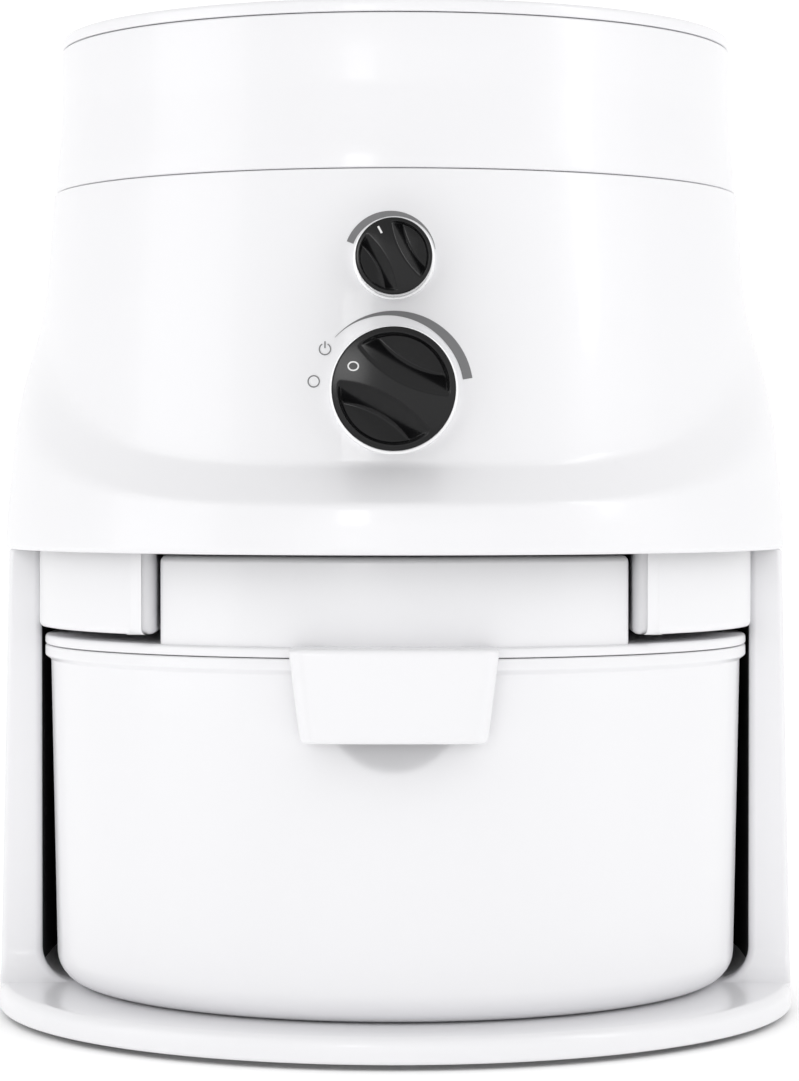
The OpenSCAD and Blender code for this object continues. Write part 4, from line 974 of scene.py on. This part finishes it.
WHITE = moulded("gloss_white", (0.865, 0.863, 0.88), (0.84, 0.838, 0.855), 0.3, 0.05, coat=0.3, coat_rough=0.08,
                relief=0.000003, ripple=0.00004)
FINISHES = {
    "white_gloss": WHITE,
    "white_inner": moulded("satin_white", (0.78, 0.78, 0.77), (0.72, 0.72, 0.71), 0.38, 0.1, grain=700),
    # The near-black plastic of the bay liner is a dark sheet put where the bay is only in shade: painted shade.
    "dark_plastic": moulded("painted_shade_liner", (0.028, 0.029, 0.031), (0.018, 0.018, 0.02), 0.45, 0.15, relief=0.00003),
    "black_gloss": moulded("black_knob", (0.006, 0.006, 0.0065), (0.004, 0.004, 0.0045), 0.1, 0.08,
                           relief=0.000003, specular=0.25),
    "rubber": moulded("black_rubber", (0.03, 0.03, 0.03), (0.02, 0.02, 0.02), 0.7, 0.15, grain=1400, relief=0.00006),
    "grey_rubber": moulded("grey_seal", (0.25, 0.25, 0.25), (0.2, 0.2, 0.2), 0.6, 0.15, grain=1200, relief=0.00004),
    "steel": metal("turned_steel", (0.63, 0.63, 0.64), (0.45, 0.45, 0.47), 0.18, 0.2, (1, 1, 0.05)),
    "cast": metal("cast_metal", (0.6, 0.61, 0.62), (0.42, 0.43, 0.44), 0.35, 0.25, (1, 1, 1), 0.00005, 260),
    "stack": laminated("sheet_stack", (0.34, 0.35, 0.37), (0.14, 0.14, 0.15), 0.0008),
    "copper": winding("wound_copper", (0.65, 0.26, 0.1), (0.16, 0.05, 0.02), 0.0009, Z),
    "brass": metal("turned_brass", (0.75, 0.55, 0.24), (0.5, 0.34, 0.12), 0.2, 0.2, (0.05, 1, 1)),
    "nylon": moulded("natural_nylon", (0.72, 0.7, 0.62), (0.62, 0.59, 0.5), 0.42, 0.12, grain=500),
    "board": circuit("printed_board"),
    "foam": cellular("filter_cells", (0.05, 0.05, 0.055), (0.004, 0.004, 0.004)),
    "bezel": metal("polished_bezel", (0.8, 0.8, 0.81), (0.66, 0.66, 0.67), 0.1, 0.1, (1, 0.05, 1), 0.000002),
}
GREY_INK = moulded("grey_ink", (0.20, 0.20, 0.205), (0.16, 0.16, 0.165), 0.4, 0.08, grain=2500, relief=0.000008)
WHITE_INK = moulded("white_ink", (0.8, 0.8, 0.8), (0.7, 0.7, 0.7), 0.4, 0.1, grain=2500, relief=0.000008)

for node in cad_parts.values():
    for index, slot in enumerate(node.data.materials):
        node.data.materials[index] = FINISHES[slot.name.split(".")[0]]


def dress(piece, body, replaced=None, finish="white_gloss", material=None):
    """Gives a new piece its body and finish, and hides the CAD node that it stands for."""
    piece.data.materials.clear()
    piece.data.materials.append(material or FINISHES[finish])
    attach(piece, body)
    if replaced:
        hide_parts(replaced)


housing, vent_panel = build_housing()
dress(housing, "root", "main_housing")
dress(vent_panel, "root", "back_panel")
dress(printed_marks(), "root", material=GREY_INK)
dress(build_hopper_ring(), "root", "hopper_ring")
dress(build_base(), "root", "base_frame")
dress(build_guide_block(-1, "guide_block_left"), "root", "guide_block_left")
dress(build_guide_block(1, "guide_block_right"), "root", "guide_block_right")
dress(build_hopper_lid(), "lid", "hopper_lid")
dress(build_bowl(), "bowl", "flour_bowl")
dress(build_handle(), "bowl", "flour_bowl")
dress(build_bowl_lid(), "bowl", "bowl_lid")
dress(knob("motor_dial_cap", MOTOR_Z, MOTOR_D, MOTOR_FACE_Y, MOTOR_BACK_Y, MOTOR_MARK_A, 2.3, 5.0, 2.6, 3.5),
      "motor_dial", "motor_knob", "black_gloss")
dress(knob("feed_dial_cap", FEED_Z, FEED_D, FEED_FACE_Y, FEED_BACK_Y, FEED_MARK_A, 2.8, 8.2, 4.4, 6.2),
      "feed_dial", "feed_knob", "black_gloss")
for pad_name, pad_z, pad_d, knob_back in (("motor_pad", MOTOR_Z, MOTOR_D, MOTOR_BACK_Y),
                                          ("feed_pad", FEED_Z, FEED_D, FEED_BACK_Y)):
    pad_face = knob_back + BEZEL_T + GAP
    dress(pad_ring(pad_z, pad_d / 2 + 1.1, pad_face, pad_face + 6, pad_name), "root", "main_housing")
dress(motor_mark(), "motor_dial", material=WHITE_INK)
dress(feed_mark(), "feed_dial", material=WHITE_INK)


# ---------------------------------------------------------------- floor, light and camera

# Reach of the occlusion that darkens the floor's glow near the mill: a painted contact shadow, in metres.
PAINTED_SHADE_REACH = 0.022
BACKFACING = 6


def staging():
    """A pale floor that curves up into a backdrop behind the mill: two straight runs joined by a quarter circle.
    It glows a little, less where the mill stands close to it, which deepens the contact shadow. A camera behind
    it sees through it."""
    bend, back, front, top, half_w = 600.0, 1500.0, -1600.0, 2600.0, 3000
    floor_z = -0.4
    section = np.vstack([[[front, floor_z]], [[back - bend, floor_z]],
                         arc(back - bend, floor_z + bend, bend, -90, 0, 24)[1:], [[back, top]]])
    section = densify(section, 120)
    xs = np.linspace(-half_w, half_w, 30)
    points = np.stack([xs + 0 * section[:, :1], section[:, :1] + 0 * xs, section[:, 1:] + 0 * xs], -1)
    sweep = Surface().grid(points).make("studio_sweep", flip=True)
    material, tree, shader, place = new_material("studio_paper")
    cloud = place.noise(3.0)
    # The glow's colour follows the occlusion, so the floor is darker close to the mill: painted contact shadow on top
    # of the real one.
    painted_contact_shade = place.node("ShaderNodeAmbientOcclusion", {"samples": 8}, Distance=PAINTED_SHADE_REACH)
    put(tree, shader.inputs["Base Color"], cloud.blend((0.86, 0.86, 0.86), (0.88, 0.88, 0.88)))
    put(tree, shader.inputs["Roughness"], cloud * 0.1 + 0.75)
    put(tree, shader.inputs["Emission Color"], painted_contact_shade)
    shader.inputs["Emission Strength"].default_value = 0.3
    clear = tree.nodes.new("ShaderNodeBsdfTransparent")
    choice = tree.nodes.new("ShaderNodeMixShader")
    camera_ray = place.node("ShaderNodeLightPath")
    put(tree, choice.inputs[0], place.node("ShaderNodeNewGeometry", out=BACKFACING) * camera_ray)
    tree.links.new(shader.outputs[0], choice.inputs[1])
    tree.links.new(clear.outputs[0], choice.inputs[2])
    tree.links.new(choice.outputs[0], next(n for n in tree.nodes if n.type == "OUTPUT_MATERIAL").inputs[0])
    sweep.data.materials.append(material)


staging()


def area_light(name, place, target, size, power):
    """A soft light that looks at a target and that the camera doesn't see. Places and sizes are in metres, the
    power in watts."""
    light = bpy.data.lights.new(name, "AREA")
    light.shape = "RECTANGLE"
    light.size, light.size_y = size
    light.energy = power
    lamp = bpy.data.objects.new(name, light)
    lamp.location = place
    lamp.visible_camera = False
    lamp.rotation_euler = (Vector(target) - Vector(place)).to_track_quat("-Z", "Y").to_euler()
    bpy.context.scene.collection.objects.link(lamp)


area_light("left_window", (-1.3, -0.55, 0.4), (0, 0, 0.16), (0.9, 1.6), 4.3)
area_light("right_window", (1.3, -0.5, 0.35), (0, 0, 0.16), (0.8, 1.5), 1.4)
area_light("right_strip", (1.02, -0.58, 0.78), (0, -0.14, 0.24), (0.16, 0.9), 2.0)
area_light("front_fill", (0, -2.4, 0.1), (0, 0, 0.16), (2.4, 1.0), 3.7)
area_light("front_top", (0, -1.5, 1.5), (0, 0, 0.1), (2.4, 1.0), 1.3)
area_light("spark", (-0.25, -1.3, 0.36), (0, -0.15, 0.2), (0.2, 0.2), 0.7)

world = bpy.data.worlds.new("studio_air")
bpy.context.scene.world = world
world.use_nodes = True
air = world.node_tree
background = next(n for n in air.nodes if n.type == "BACKGROUND")
path = air.nodes.new("ShaderNodeLightPath")
shown = [Value(air, path.outputs[ray]) for ray in ("Is Camera Ray", "Is Glossy Ray", "Is Transmission Ray")]
ambient = 0.7
put(air, background.inputs["Strength"], (shown[0] + shown[1] + shown[2]) * (1 - ambient) + ambient)
background.inputs["Color"].default_value = (1, 1, 1, 1)

camera_data = bpy.data.cameras.new("photo_camera")
camera_data.sensor_fit = "VERTICAL"
camera_data.sensor_height = 36.0
camera_data.lens = 113.2
camera = bpy.data.objects.new("photo_camera", camera_data)
camera.location = (0.0044, -1.187, 0.1795)
camera_target = Vector((0.0014, -0.014, 0.160))
camera.rotation_euler = (camera_target - Vector(camera.location)).to_track_quat("-Z", "Y").to_euler()
bpy.context.scene.collection.objects.link(camera)
bpy.context.scene.camera = camera
bpy.context.scene.view_settings.view_transform = "Standard"
